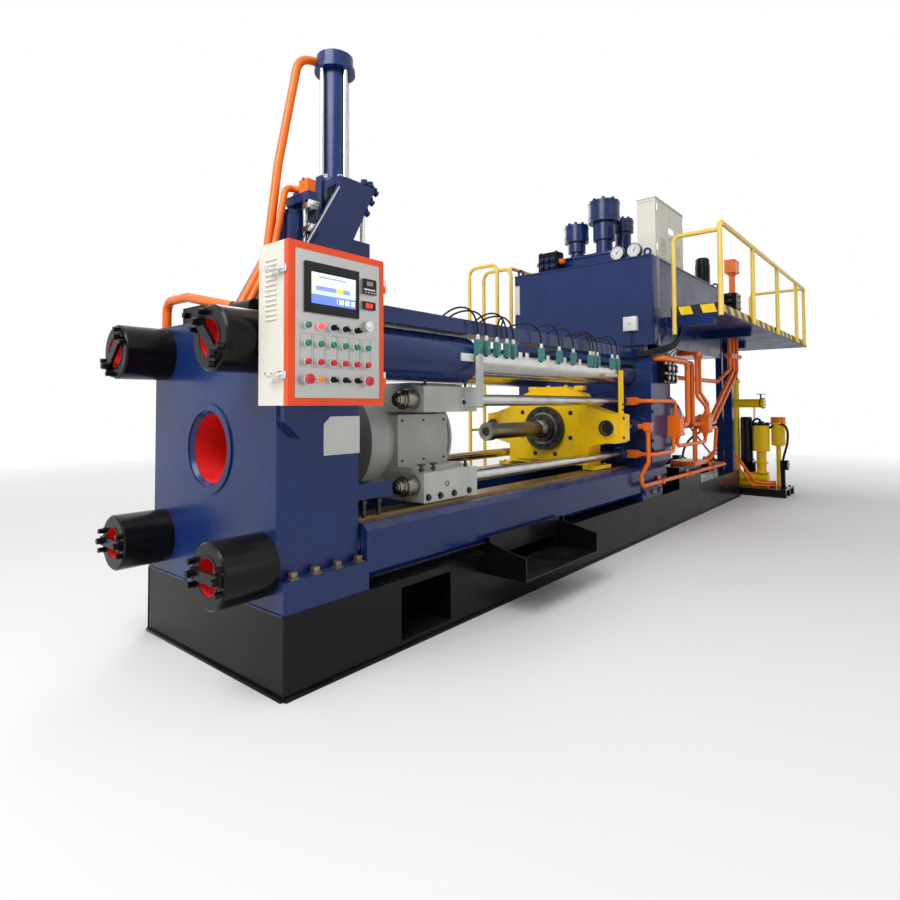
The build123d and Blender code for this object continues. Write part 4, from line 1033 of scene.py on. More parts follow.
class PRESS_OT_add_switch_fittings(bpy.types.Operator):
    """Add the glands, levers and fixed wires of the limit switches"""

    bl_idname = "press.add_switch_fittings"
    bl_label = "Limit switch fittings"

    SWITCH_Y, COVER_Y = -0.618, -0.6385
    SWITCH_X = (-2.179, -2.095, -1.987, -1.880, -1.807, -1.468, -1.224, -1.017, -0.745, -0.694, -0.624,
                -0.350, -0.253)
    GLAND_Z = 1.604
    TROUGH_TOP = 1.702

    def execute(self, context):
        glands, levers, boxes = bmesh.new(), bmesh.new(), bmesh.new()
        routes = []
        for index, x in enumerate(self.SWITCH_X):
            rod(glands, vec(x, self.SWITCH_Y, 1.586), PLUS_Z, 0.008, 0.0135, sides=6)
            rod(glands, vec(x, self.SWITCH_Y, self.GLAND_Z - 0.0095), PLUS_Z, 0.022, 0.0125, tip=0.009,
                sides=20, edge=0.002)
            block(boxes, (x - 0.0145, self.COVER_Y, 1.512), (x + 0.0145, -0.6355, 1.572), 0.001)
            cap_screw(levers, vec(x, self.COVER_Y, 1.520), MINUS_Y, 0.0035)
            cap_screw(levers, vec(x, self.COVER_Y, 1.564), MINUS_Y, 0.0035)
            rod(levers, vec(x, self.SWITCH_Y, 1.5005), MINUS_Z, 0.010, 0.008, sides=16)
            reach = 0.170 if index == 2 else -0.230 - 0.030 * (index % 3)
            rise = 0.062 - 0.012 * (index % 3)
            routes.append([(x, self.SWITCH_Y, 1.610), (x, self.SWITCH_Y, 1.680),
                           (x + reach * 0.25, -0.610, self.TROUGH_TOP + rise),
                           (x + reach * 0.70, -0.585, self.TROUGH_TOP + rise),
                           (x + reach, -0.530, 1.705), (x + reach * 1.1, -0.500, 1.650)])
        place_piece(glands, "switch_glands", "root", "white")
        place_piece(levers, "switch_screws", "root", "dark")
        place_piece(boxes, "switch_covers", "root", "teal")
        tubes("switch_wires", "root", "wire", routes, 0.0055)
        labels = bmesh.new()
        for x in (-1.700, -1.620, -1.350, -1.110, -0.880):
            block(labels, (x - 0.022, -0.6015, 1.5005), (x + 0.022, -0.6000, 1.545), 0.0005)
        place_piece(labels, "switch_rail_stops", "root", "aluminium")
        rails = bmesh.new()
        for z in (1.4600, 1.4915):
            block(rails, (-2.329, -0.6145, z), (-0.211, -0.6119, z + 0.003), 0.0006)
        place_piece(rails, "switch_rail_slot_lips", "root", "aluminium")
        tubes("trough_wires", "root", "wire",
              [[(-3.060, -0.470 - 0.012 * n, 1.636 + 0.006 * n), (-2.200, -0.500 + 0.010 * n, 1.640),
                (-1.200, -0.470 - 0.012 * n, 1.642), (-0.300, -0.500 + 0.010 * n, 1.640),
                (0.240, -0.480 - 0.010 * n, 1.640)] for n in range(5)], 0.008)
        tubes("tank_cables", "root", "wire",
              [[(0.235, -0.500, 1.650 + 0.012 * n), (0.245, -0.640, 1.640 + 0.016 * n),
                (0.255, -0.750, 1.655 + 0.020 * n), (0.420, -0.815, 1.690 + 0.022 * n),
                (0.620, -0.815, 1.750 + 0.022 * n), (0.780, -0.800, 1.870 + 0.020 * n),
                (0.840, -0.785, 2.004)] for n in range(3)], 0.012)
        return {"FINISHED"}


class PRESS_OT_add_tank_fittings(bpy.types.Operator):
    """Add the seams, bolts, dials, covers and doors on the tank and the cabinet"""

    bl_idname = "press.add_tank_fittings"
    bl_label = "Tank and cabinet fittings"

    FRONT_X, BACK_X, HALF_WIDTH = 0.250, 2.400, 0.720
    LOW_Z, TOP_Z, LID_Z = 1.740, 2.540, 2.552
    BOX_Y, BOX_Z = -0.5365, 1.937
    CABINET_Y = -0.7018
    HATCH = (0.430, 1.300, -0.290, 0.360, 2.700)
    CYLINDERS = ((0.700, -0.071, 0.157, 0.110, 3.063, 3.277), (0.700, 0.241, 0.125, 0.092, 2.910, 3.087),
                 (1.120, -0.090, 0.110, 0.085, 3.050, 3.185))

    def execute(self, context):
        size = context.scene.press_sizes.bolt
        self.add_seams(size)
        self.add_dials()
        self.add_top(size)
        self.add_cabinet()
        return {"FINISHED"}

    def add_seams(self, size):
        seams = bmesh.new()
        for side in (-1, 1):
            y0, y1 = sorted((side * self.HALF_WIDTH, side * (self.HALF_WIDTH + 0.008)))
            for x in (0.256, 2.386):
                block(seams, (x, y0, self.LOW_Z), (x + 0.010, y1, self.TOP_Z), 0.002)
            y2, y3 = sorted((side * self.HALF_WIDTH, side * (self.HALF_WIDTH + 0.014)))
            block(seams, (0.275, y2, self.LOW_Z + 0.002), (0.430, y3, self.TOP_Z - 0.002), 0.003)
            for x in (self.FRONT_X, self.BACK_X):
                rod(seams, vec(x, side * self.HALF_WIDTH, self.LOW_Z), PLUS_Z, 0.80, 0.006, sides=10)
        for z in (self.TOP_Z - 0.002, self.LOW_Z + 0.003):
            rod(seams, vec(self.FRONT_X, -self.HALF_WIDTH, z), PLUS_Y, 2 * self.HALF_WIDTH, 0.005, sides=10)
        cover_x, cover_y, cover_z = self.BACK_X, 0.30, 2.10
        ring(seams, vec(cover_x, cover_y, cover_z), PLUS_X, 0.150, 0.220, 0.012, 48, 0.003)
        rod(seams, vec(cover_x, cover_y, cover_z), PLUS_X, 0.008, 0.200, sides=48)
        hex_heads(seams, bolt_circle(cover_x + 0.012, cover_y, cover_z, 0.185, 12), PLUS_X, size * 0.8)
        for x in (0.360, 0.740):
            for side in (-1, 1):
                for aside in (0.12, 0.34, 0.56):
                    hex_head(seams, vec(x, side * aside, self.LOW_Z + 0.0002), PLUS_Z, size)
        place_piece(seams, "tank_seams", "root", "blue")
        bolts = bmesh.new()
        for x in (0.262, 2.388):
            for index in range(9):
                hex_head(bolts, vec(x, -0.64 + 0.16 * index, self.LID_Z), PLUS_Z, size * 0.6)
        for index in range(14):
            for side in (-1, 1):
                hex_head(bolts, vec(0.32 + 0.155 * index, side * 0.712, self.LID_Z), PLUS_Z, size * 0.6)
        place_piece(bolts, "tank_lid_bolts", "root", "blue")
        self.add_junction_box()
        glass = bmesh.new()
        block(glass, (0.2365, 0.680, 2.160), (0.2385, 0.702, 2.428), 0.0006)
        place_piece(glass, "level_glass", "root", "level")
        screws = bmesh.new()
        for z in (2.152, 2.436):
            cap_screw(screws, vec(0.238, 0.691, z), MINUS_X, 0.0055)
        place_piece(screws, "level_glass_screws", "root", "dark")

    def add_junction_box(self):
        y, z = self.BOX_Y, self.BOX_Z
        box = bmesh.new()
        rod(box, vec(0.205, y, z), MINUS_X, 0.0025, 0.008, sides=20)
        block(box, (0.2035, -0.597, 1.875), (0.2052, -0.476, 1.999), 0.0007)
        for screw_y in (-0.588, -0.485):
            for screw_z in (1.884, 1.990):
                cap_screw(box, vec(0.2036, screw_y, screw_z), MINUS_X, 0.0035)
        place_piece(box, "junction_box_cover", "root", "white")
        knob = bmesh.new()
        rod(knob, vec(0.2036, y, z), MINUS_X, 0.006, 0.0055, sides=16)
        rod(knob, vec(0.228, y, z - 0.064), MINUS_Z, 0.014, 0.010, sides=12)
        place_piece(knob, "junction_box_knob", "root", "plastic")
        tubes("junction_box_lead", "root", "wire",
              [[(0.228, y, 1.862), (0.226, -0.534, 1.800), (0.190, -0.560, 1.740),
                (0.100, -0.545, 1.700), (0.020, -0.500, 1.660)]], 0.0045)

    def add_dials(self):
        rims, faces, hands = bmesh.new(), bmesh.new(), bmesh.new()
        for y in (-0.562, -0.400):
            middle = vec(0.260, y, 2.614)
            ring(rims, middle + vec(0.040, 0, 0), MINUS_X, 0.0622, 0.068, 0.046, 48, 0.004)
            block(rims, middle + vec(0.010, -0.045, -0.062), middle + vec(0.040, 0.045, -0.045), 0.002)
            rod(faces, middle + vec(0.0005, 0, 0), MINUS_X, 0.0010, 0.0615, sides=48)
            for index in range(11):
                turn = math.radians(225 - 27 * index)
                ahead = vec(0, -math.cos(turn), math.sin(turn))
                rod(hands, middle + vec(-0.0012, 0, 0) + ahead * 0.045, ahead, 0.011, 0.0016, sides=6)
            ahead = vec(0, -math.cos(0.9), math.sin(0.9))
            tail = middle + vec(-0.0022, 0, 0) - ahead * 0.012
            rod(hands, tail, ahead, 0.052, 0.0026, tip=0.0008, sides=8)
            rod(hands, middle + vec(-0.0006, 0, 0), MINUS_X, 0.004, 0.006, sides=16)
        place_piece(rims, "dial_rims", "root", "blue")
        place_piece(faces, "dial_faces", "root", "white")
        place_piece(hands, "dial_marks", "root", "plastic")

    def add_top(self, size):
        top = bmesh.new()
        x0, x1, y0, y1, z = self.HATCH
        for index in range(6):
            along = (index + 0.5) / 6
            for y in (y0 + 0.025, y1 - 0.025):
                hex_head(top, vec(x0 + (x1 - x0) * along, y, z), PLUS_Z, size * 0.9)
        for index in range(5):
            for x in (x0 + 0.025, x1 - 0.025):
                hex_head(top, vec(x, y0 + (y1 - y0) * (index + 0.5) / 5, z), PLUS_Z, size * 0.9)
        block(top, (x0 - 0.012, y0 - 0.012, z - 0.030), (x0 + 0.001, y1 + 0.012, z - 0.006), 0.002)
        block(top, (x1 - 0.001, y0 - 0.012, z - 0.030), (x1 + 0.012, y1 + 0.012, z - 0.006), 0.002)
        block(top, (x0, y0 - 0.012, z - 0.030), (x1, y0 + 0.001, z - 0.006), 0.002)
        block(top, (x0, y1 - 0.001, z - 0.030), (x1, y1 + 0.012, z - 0.006), 0.002)
        for x, y, cap_r, body_r, cap_z, top_z in self.CYLINDERS:
            hex_heads(top, deck_circle(x, y, top_z, cap_r - 0.030, 8, 0.39), PLUS_Z, size * 1.3, 0.020)
            hex_heads(top, deck_circle(x, y, z, body_r + 0.012, 8), PLUS_Z, size * 0.8)
            ring(top, vec(x, y, z), PLUS_Z, body_r * 0.75, body_r + 0.032, 0.014, 48, 0.003)
            hex_heads(top, deck_circle(x, y, z + 0.014, body_r + 0.014, 8), PLUS_Z, size * 0.9)
            ring(top, vec(x, y, cap_z + 0.040), PLUS_Z, cap_r, cap_r + 0.004, 0.006, 48)
            ring(top, vec(x, y, top_z - 0.030), PLUS_Z, cap_r, cap_r + 0.004, 0.006, 48)
        for y in (0.275, 0.342, 0.410):
            for port_z in (2.600, 2.670):
                rod(top, vec(0.270, y, port_z), MINUS_X, 0.024, 0.024, sides=20, edge=0.003)
                hex_head(top, vec(0.246, y, port_z), MINUS_X, size * 0.9)
        for y in (0.255, 0.430):
            for x in (0.290, 0.380):
                hex_head(top, vec(x, y, 2.745), PLUS_Z, size)
        place_piece(top, "tank_top_fittings", "root", "blue")
        orange = bmesh.new()
        for start, side in (((0.335, 0.476, 2.650), 1), ((0.335, 0.210, 2.650), -1)):
            hex_head(orange, vec(*start), vec(0, side, 0), 0.024, 0.018)
        place_piece(orange, "tank_block_plugs", "root", "orange")
        fins = bmesh.new()
        for index in range(10):
            ring(fins, vec(2.150, -0.600, 2.600 + 0.022 * index), PLUS_Z, 0.075, 0.083, 0.006, 32, 0.001)
        rod(fins, vec(2.150, -0.600, 2.8699), PLUS_Z, 0.018, 0.070, tip=0.060, sides=32, edge=0.004)
        place_piece(fins, "tank_motor_fins", "root", "black")

    def add_cabinet(self):
        lines, handles, ribs = bmesh.new(), bmesh.new(), bmesh.new()
        # Thin black strips on the door joints and along the side seams: painted shade of the gaps between the
        # cabinet doors.
        for x in (0.432, 0.802, 1.173):
            block(lines, (x - 0.0015, -0.7024, 2.580), (x + 0.0015, self.CABINET_Y, 3.110))
        for z in (2.580, 3.110):
            block(lines, (0.432, -0.7024, z - 0.0015), (1.173, self.CABINET_Y, z + 0.0015))
        for z in (2.600, 3.090):
            block(lines, (0.4294, -0.690, z), (0.4302, -0.542, z + 0.002))
        place_piece(lines, "cabinet_door_gap_shade", "root", "plastic")
        for x in (0.770, 0.834):
            block(handles, (x - 0.012, -0.7140, 2.800), (x + 0.012, self.CABINET_Y, 2.900), 0.003)
            block(handles, (x - 0.006, -0.7230, 2.815), (x + 0.006, -0.7140, 2.885), 0.003)
        for x in (0.448, 1.157):
            for z in (2.660, 3.030):
                rod(handles, vec(x, -0.7080, z - 0.030), PLUS_Z, 0.060, 0.006, sides=12)
        place_piece(handles, "cabinet_handles", "root", "chrome")
        for index in range(8):
            z = 2.640 + 0.018 * index
            for x in (0.520, 0.900):
                block(ribs, (x, -0.7060, z), (x + 0.180, self.CABINET_Y, z + 0.007), 0.0015)
        block(ribs, (0.424, -0.708, 3.1195), (1.181, -0.524, 3.128), 0.002)
        place_piece(ribs, "cabinet_louvres", "root", "cream")


class PRESS_OT_add_rear_fittings(bpy.types.Operator):
    """Add the gland rings, bolts and tie bars of the rear platen and its cylinders"""

    bl_idname = "press.add_rear_fittings"
    bl_label = "Rear platen fittings"

    GLAND_X, FACE_X, FLANGE_X, END_X = 0.180, 0.230, 0.840, 2.150

    def execute(self, context):
        size = context.scene.press_sizes.bolt
        blue, steel = bmesh.new(), bmesh.new()
        ring(blue, vec(self.GLAND_X, 0, AXIS_Z), MINUS_X, 0.2365, 0.290, 0.016, 72, 0.004)
        hex_heads(blue, bolt_circle(0.164, 0, AXIS_Z, 0.266, 16, 0.1), MINUS_X, size)
        hex_heads(blue, bolt_circle(self.FACE_X, 0, AXIS_Z, 0.335, 16, 0.1), MINUS_X, size * 1.4)
        hex_heads(blue, bolt_circle(self.FLANGE_X, 0, AXIS_Z, 0.402, 18, 0.175), PLUS_X, size * 1.4)
        hex_heads(blue, bolt_circle(self.END_X, 0, AXIS_Z, 0.280, 12, 0.1), PLUS_X, size * 1.6)
        ring(blue, vec(self.END_X, 0, AXIS_Z), PLUS_X, 0.06, 0.200, 0.022, 64, 0.006)
        for y, z in SHIFT_PLACES:
            hex_heads(blue, bolt_circle(0.220, y, z, 0.081, 8, 0.39), MINUS_X, size * 0.8)
            ring(blue, vec(0.130, y, z), MINUS_X, 0.0392, 0.062, 0.012, 40, 0.004)
            ring(blue, vec(0.118, y, z), MINUS_X, 0.0392, 0.050, 0.008, 40, 0.003)
            ring(blue, vec(0.192, y, z), PLUS_X, 0.0722, 0.078, 0.012, 40, 0.002)
        for side in (-1, 1):
            y = side * SIDE_Y
            hex_heads(blue, bolt_circle(0.210, y, SIDE_Z, 0.078, 8, 0.39), MINUS_X, size * 0.8)
            ring(blue, vec(0.110, y, SIDE_Z), MINUS_X, 0.0365, 0.055, 0.012, 40, 0.004)
            ring(blue, vec(2.020, y, SIDE_Z), PLUS_X, 0.004, 0.072, 0.030, 40, 0.004)
            for z in (0.420, 0.560, 0.800, 0.880, 1.140, 1.220, 1.600):
                out_y = side * (0.700 if z > 0.7 else 0.610)
                hex_head(blue, vec(0.300, out_y, z), vec(0, side, 0), size)
            for x in (0.340, 0.500, 0.680):
                hex_head(steel, vec(x, side * 0.612, 0.3985), vec(0, side, 0), size * 1.5, 0.014)
        for side in (-1, 1):
            for z in (0.395, 0.660):
                rod(blue, vec(0.2685, side * 0.345, z), vec(0, side, 0), 0.245, 0.005, sides=8)
        place_piece(blue, "rear_platen_bolts", "root", "blue")
        place_piece(steel, "rear_foot_bolts", "root", "rusty")
        collars = bmesh.new()
        for y, z in SHIFT_PLACES:
            for x in (-1.180, -1.140):
                ring(collars, vec(x, y, z), PLUS_X, 0.0370, 0.0374, 0.002, 40)
        place_piece(collars, "container_rod_joints", "container", "dark")
        return {"FINISHED"}


class PRESS_OT_add_pipe_fittings(bpy.types.Operator):
    """Add the union nuts, block bolts and clamps of the pressure pipes"""

    bl_idname = "press.add_pipe_fittings"
    bl_label = "Pipe fittings"

    UNIONS = (
        ((0.182, -0.602, 1.235), MINUS_Y, 0.030), ((0.182, -0.602, 0.765), MINUS_Y, 0.030),
        ((0.745, -0.745, 1.100), PLUS_Z, 0.030), ((0.690, -0.745, 0.910), MINUS_Z, 0.030),
        ((0.745, -0.762, 0.910), MINUS_Z, 0.030), ((1.600, -0.762, 0.905), MINUS_Z, 0.030),
        ((0.147, -0.715, 0.975), MINUS_Z, 0.030), ((0.770, -0.790, 1.010), PLUS_X, 0.040),
        ((1.275, -0.783, 1.700), MINUS_Z, 0.030), ((1.377, -0.783, 1.700), MINUS_Z, 0.030),
        ((1.570, -0.783, 1.100), PLUS_Z, 0.030), ((1.630, -0.783, 1.100), PLUS_Z, 0.030),
        ((1.660, -0.775, 0.950), PLUS_X, 0.030), ((1.660, -0.750, 1.060), PLUS_X, 0.036),
        ((1.660, -0.750, 1.000), PLUS_X, 0.036), ((1.540, -0.735, 1.000), MINUS_X, 0.040),
        ((2.760, -0.750, 2.800), MINUS_Z, 0.038), ((2.840, -0.750, 2.800), MINUS_Z, 0.038),
        ((1.860, -0.662, 0.580), PLUS_X, 0.030), ((3.930, -0.900, 0.150), MINUS_X, 0.028),
    )

    def execute(self, context):
        size = context.scene.press_sizes.bolt
        nuts, bolts, clamps = bmesh.new(), bmesh.new(), bmesh.new()
        for place, direction, radius in self.UNIONS:
            start = vec(*place)
            rod(nuts, start, direction, 0.010, radius, sides=24, edge=0.002)
            rod(nuts, start + direction * 0.010, direction, 0.024, radius * 0.92, tip=radius * 0.80, sides=6)
        for x0, x1, y, z0, z1 in ((0.660, 0.770, -0.820, 0.910, 1.100), (1.540, 1.660, -0.815, 0.905, 1.100),
                                  (2.705, 2.895, -0.810, 2.800, 2.960), (1.230, 1.425, -0.805, 1.700, 1.740)):
            for x in (x0 + 0.018, x1 - 0.018):
                for z in (z0 + 0.018, z1 - 0.018):
                    cap_screw(bolts, vec(x, y, z), MINUS_Y, size * 0.75)
        for x, z in ((0.126, 0.989), (0.168, 0.989), (0.126, 1.031), (0.168, 1.031)):
            cap_screw(bolts, vec(x, -0.743, z), MINUS_Y, size * 0.7)
        for dz in (-0.235, 0.235):
            for x in (0.162, 0.203):
                for z in (-0.022, 0.022):
                    cap_screw(bolts, vec(x, -0.602, AXIS_Z + dz + z), MINUS_Y, size * 0.55)
        for x in (2.590, 2.700, 2.860, 2.975):
            hex_head(bolts, vec(x, -0.790, 1.785), MINUS_Y, size, 0.010)
        for place in ((1.510, -0.655), (1.690, -0.655), (1.510, -0.470), (1.690, -0.470), (1.830, -0.470)):
            hex_head(bolts, vec(*place, 0.600), PLUS_Z, size * 0.9)
        place_piece(nuts, "pipe_union_nuts", "root", "orange")
        place_piece(bolts, "pipe_block_screws", "root", "steel")
        for x in (0.620, 1.420, 2.200):
            block(clamps, (x - 0.020, -0.684, 0.462), (x + 0.020, -0.632, 0.508), 0.004)
            block(clamps, (x - 0.030, -0.6325, 0.440), (x + 0.030, -0.620, 0.530), 0.003)
        place_piece(clamps, "base_pipe_clamps", "root", "orange")
        return {"FINISHED"}


class PRESS_OT_add_deck_fittings(bpy.types.Operator):
    """Add the valves, the rail feet and collars, and the bracket plates of the platform"""

    bl_idname = "press.add_deck_fittings"
    bl_label = "Platform fittings"

    DECK_TOP = 2.019
    RAIL_Y = 1.217
    POSTS = (1.750, 2.920, 4.090, 4.650)

    def execute(self, context):
        size = context.scene.press_sizes.bolt
        feet, rails, brackets = bmesh.new(), bmesh.new(), bmesh.new()
        for side in (-1, 1):
            for x in self.POSTS:
                place = vec(x, side * self.RAIL_Y, self.DECK_TOP)
                ring(feet, place, PLUS_Z, 0.0222, 0.030, 0.010, 24, 0.002)
            for x in self.POSTS:
                ring(rails, vec(x, side * self.RAIL_Y, 2.800), PLUS_Z, 0.0222, 0.0245, 0.010, 24, 0.002)
        place_piece(feet, "rail_feet", "root", "rail")
        place_piece(rails, "rail_collars", "root", "rail")
        for x in (0.600, 0.640, 0.680, 1.900, 1.980):
            for side in (-1, 1):
                rod(brackets, vec(x, side * 0.7215, 1.930), PLUS_Z, 0.070, 0.004, sides=8)
        for side in (-1, 1):
            low, high = sorted((side * 0.7205, side * 0.7320))
            block(brackets, (0.585, low, 1.905), (0.700, high, 2.003), 0.002)
            for x in (0.600, 0.692):
                hex_head(brackets, vec(x - 0.002, side * 0.7320, 1.955), vec(0, side, 0), size * 0.6)
        place_piece(brackets, "deck_bracket_plates", "root", "blue")
        self.add_valves(size)
        return {"FINISHED"}

    def add_valves(self, size):
        dark, bright, coils, gauges = bmesh.new(), bmesh.new(), bmesh.new(), bmesh.new()
        for x in (2.620, 2.780, 2.940):
            rod(coils, vec(x, -0.8395, 2.210), MINUS_Y, 0.060, 0.036, sides=28, edge=0.004)
            rod(bright, vec(x, -0.8995, 2.210), MINUS_Y, 0.010, 0.016, sides=20)
            block(coils, (x - 0.030, -0.880, 2.246), (x + 0.030, -0.835, 2.272), 0.003)
            hex_heads(dark, [vec(x - 0.034, -0.840, 2.150), vec(x + 0.034, -0.840, 2.150)], MINUS_Y, size)
        for z in (2.370, 2.450, 2.520):
            rod(coils, vec(2.700, -0.750, z), MINUS_X, 0.050, 0.028, sides=24, edge=0.004)
            rod(coils, vec(2.900, -0.750, z), PLUS_X, 0.050, 0.028, sides=24, edge=0.004)
            rod(bright, vec(2.750, -0.8198, z), MINUS_Y, 0.018, 0.012, sides=6)
            rod(bright, vec(2.850, -0.8198, z), MINUS_Y, 0.018, 0.012, sides=6)
        for x in (2.595, 2.740, 2.815, 2.965):
            hex_head(dark, vec(x, -0.835, 2.2998), PLUS_Z, size * 1.2)
        place_piece(dark, "deck_valve_bolts", "root", "dark")
        place_piece(coils, "deck_valve_coils", "root", "plastic")
        tank = bmesh.new()
        for x in (0.490, 0.590, 0.690):
            for z, y in ((1.535, -0.790), (1.445, -0.785)):
                rod(bright, vec(x, y, z), MINUS_Y, 0.006, 0.018, sides=20)
                inner = 0.034 if z > 1.5 else 0.030
                ring(tank, vec(x, y + 0.010, z), MINUS_Y, inner, 0.037, 0.006, 28, 0.001)
            block(bright, (x - 0.018, -0.768, 1.575), (x + 0.018, -0.730, 1.592), 0.003)
            block(bright, (x - 0.022, -0.7645, 1.484), (x + 0.022, -0.7615, 1.500), 0.001)
        for x in (0.445, 0.540, 0.640, 0.735):
            for z in (1.415, 1.570):
                cap_screw(bright, vec(x, -0.762, z), MINUS_Y, size * 0.55)
        place_piece(tank, "valve_cluster_rings", "root", "black")
        for y in (0.190, 0.380):
            rod(gauges, vec(-3.425, y, 1.685), MINUS_X, 0.020, 0.016, sides=20, edge=0.002)
        place_piece(bright, "valve_bright_parts", "root", "steel")
        place_piece(gauges, "front_block_plugs", "root", "black")
        tubes("valve_leads", "root", "wire",
              [[(x, -0.749, 1.592), (x, -0.749, 1.640), (x + 0.06, -0.748, 1.690),
                (x + 0.16, -0.745, 1.715), (x + 0.26, -0.735, 1.735)] for x in (0.490, 0.590, 0.690)], 0.0055)


class PRESS_OT_add_pump_fittings(bpy.types.Operator):
    """Add the filter heads, hoses, fins and clamps of the pump group"""

    bl_idname = "press.add_pump_fittings"
    bl_label = "Pump fittings"

    FILTER_X, RETURN_Y, MOTOR_Y, RISER_Y = 4.000, -0.780, -0.597, -0.465
    POT_X, POT_Y = 4.050, -0.980
    PUMPS_Y, PUMP_Z = (-0.130, 0.300), 0.300

    def execute(self, context):
        size = context.scene.press_sizes.bolt
        yellow, dark, steel = bmesh.new(), bmesh.new(), bmesh.new()
        for z in (0.575, 0.905):
            place = vec(self.FILTER_X, self.RETURN_Y, z - 0.006)
            ring(yellow, place, PLUS_Z, 0.1042, 0.108, 0.012, 56, 0.003)
        hex_heads(dark, deck_circle(self.FILTER_X, self.RETURN_Y, 0.945, 0.085, 8, 0.2), PLUS_Z, size)
        ring(yellow, vec(self.FILTER_X, self.RETURN_Y, 0.400), PLUS_Z, 0.0602, 0.084, 0.020, 40, 0.004)
        ring(yellow, vec(self.FILTER_X, self.RETURN_Y, 0.270), PLUS_Z, 0.0602, 0.090, 0.018, 40, 0.004)
        ring(yellow, vec(self.POT_X, self.POT_Y, 0.640), PLUS_Z, 0.0305, 0.060, 0.014, 40, 0.004)
        for z in (0.700, 0.900):
            ring(yellow, vec(self.POT_X, self.POT_Y, z), PLUS_Z, 0.0852, 0.088, 0.008, 48, 0.002)
        for z in (0.700, 1.080, 1.340):
            ring(yellow, vec(self.FILTER_X, self.RISER_Y, z), PLUS_Z, 0.0462, 0.050, 0.012, 32, 0.003)
        hex_heads(steel, deck_circle(self.FILTER_X, self.RISER_Y, 1.540, 0.054, 8), PLUS_Z, size * 0.6)
        hex_heads(steel, side_circle(4.000, -0.830, 1.217, 0.066, 8, math.pi / 8), MINUS_Y, size * 0.6)
        rod(dark, vec(4.000, -0.785, 1.279), PLUS_Z, 0.060, 0.011, sides=16)
        block(dark, (3.990, -0.850, 1.336), (4.010, -0.730, 1.346), 0.003)
        rod(yellow, vec(4.060, -0.465, 1.500), PLUS_X, 0.030, 0.022, sides=24, edge=0.003)
        rod(yellow, vec(4.080, -0.465, 1.515), PLUS_Z, 0.040, 0.010, sides=16)
        spun(yellow, [(0, 0), (0.026, 0), (0.030, 0.005), (0.026, 0.010), (0, 0.010)],
             vec(4.080, self.RISER_Y, 1.552), PLUS_Z, 24)
        place_piece(yellow, "filter_rings", "root", "filter")
        for index in range(16):
            place = vec(self.FILTER_X, self.MOTOR_Y, 0.460 + 0.026 * index)
            ring(dark, place, PLUS_Z, 0.0762, 0.084, 0.007, 36, 0.001)
        ring(dark, vec(self.FILTER_X, self.MOTOR_Y, 0.440), PLUS_Z, 0.0762, 0.096, 0.012, 36, 0.003)
        rod(dark, vec(self.FILTER_X, self.MOTOR_Y, 0.9999), PLUS_Z, 0.030, 0.078, tip=0.062, sides=36,
            edge=0.004)
        block(dark, (4.070, -0.640, 0.620), (4.120, -0.555, 0.720), 0.006)
        for y in self.PUMPS_Y:
            for index in range(10):
                ring(dark, vec(3.660 + 0.028 * index, y, self.PUMP_Z), PLUS_X, 0.1252, 0.134, 0.008, 40, 0.001)
            ring(dark, vec(4.000, y, self.PUMP_Z), PLUS_X, 0.1252, 0.142, 0.020, 40, 0.004)
            block(dark, (3.760, y - 0.050, 0.420), (3.880, y + 0.050, 0.470), 0.006)
            hex_heads(steel, bolt_circle(4.020, y, self.PUMP_Z, 0.108, 8, 0.39), PLUS_X, size * 0.9)
        hex_heads(steel, side_circle(3.900, -1.120, 0.400, 0.050, 8), MINUS_Y, size * 0.6, washer=False)
        place_piece(dark, "pump_fins", "root", "black")
        place_piece(steel, "pump_bolts", "root", "steel")
        tubes("filter_hoses", "root", "wire",
              [[(3.990, -0.884, 0.880), (3.985, -1.000, 0.960), (3.950, -1.110, 0.900),
                (3.925, -1.115, 0.700), (3.905, -1.075, 0.550), (3.905, -1.055, 0.458)],
               [(3.940, -0.660, 0.860), (3.900, -0.700, 0.980), (3.960, -0.760, 1.020),
                (self.FILTER_X, self.RETURN_Y, 0.965)]], 0.015)
        tubes("pump_hoses", "root", "wire",
              [[(4.060, -0.130, 0.378), (4.070, -0.130, 0.560), (4.040, -0.300, 0.760),
                (4.020, -0.400, 0.820), (4.010, -0.425, 0.830)],
               [(4.060, 0.300, 0.378), (4.070, 0.300, 0.620), (4.060, -0.060, 0.880),
                (4.040, -0.340, 0.960), (4.010, -0.425, 0.960)]], 0.017)
        links = bmesh.new()
        for x in (3.975, 4.035):
            for index in range(9):
                z = 1.158 - 0.022 * index
                ring(links, vec(x, -0.700, z), PLUS_X if index % 2 else PLUS_Y, 0.0080, 0.0115, 0.0035, 12)
        place_piece(links, "filter_chains", "root", "dark")
        feet = bmesh.new()
        for x in (3.650, 3.910, 4.165):
            for y in (-1.080, -0.340, 0.390):
                hex_head(feet, vec(x, y, 0.100), PLUS_Z, size)
        place_piece(feet, "skid_bolts", "root", "black")
        return {"FINISHED"}


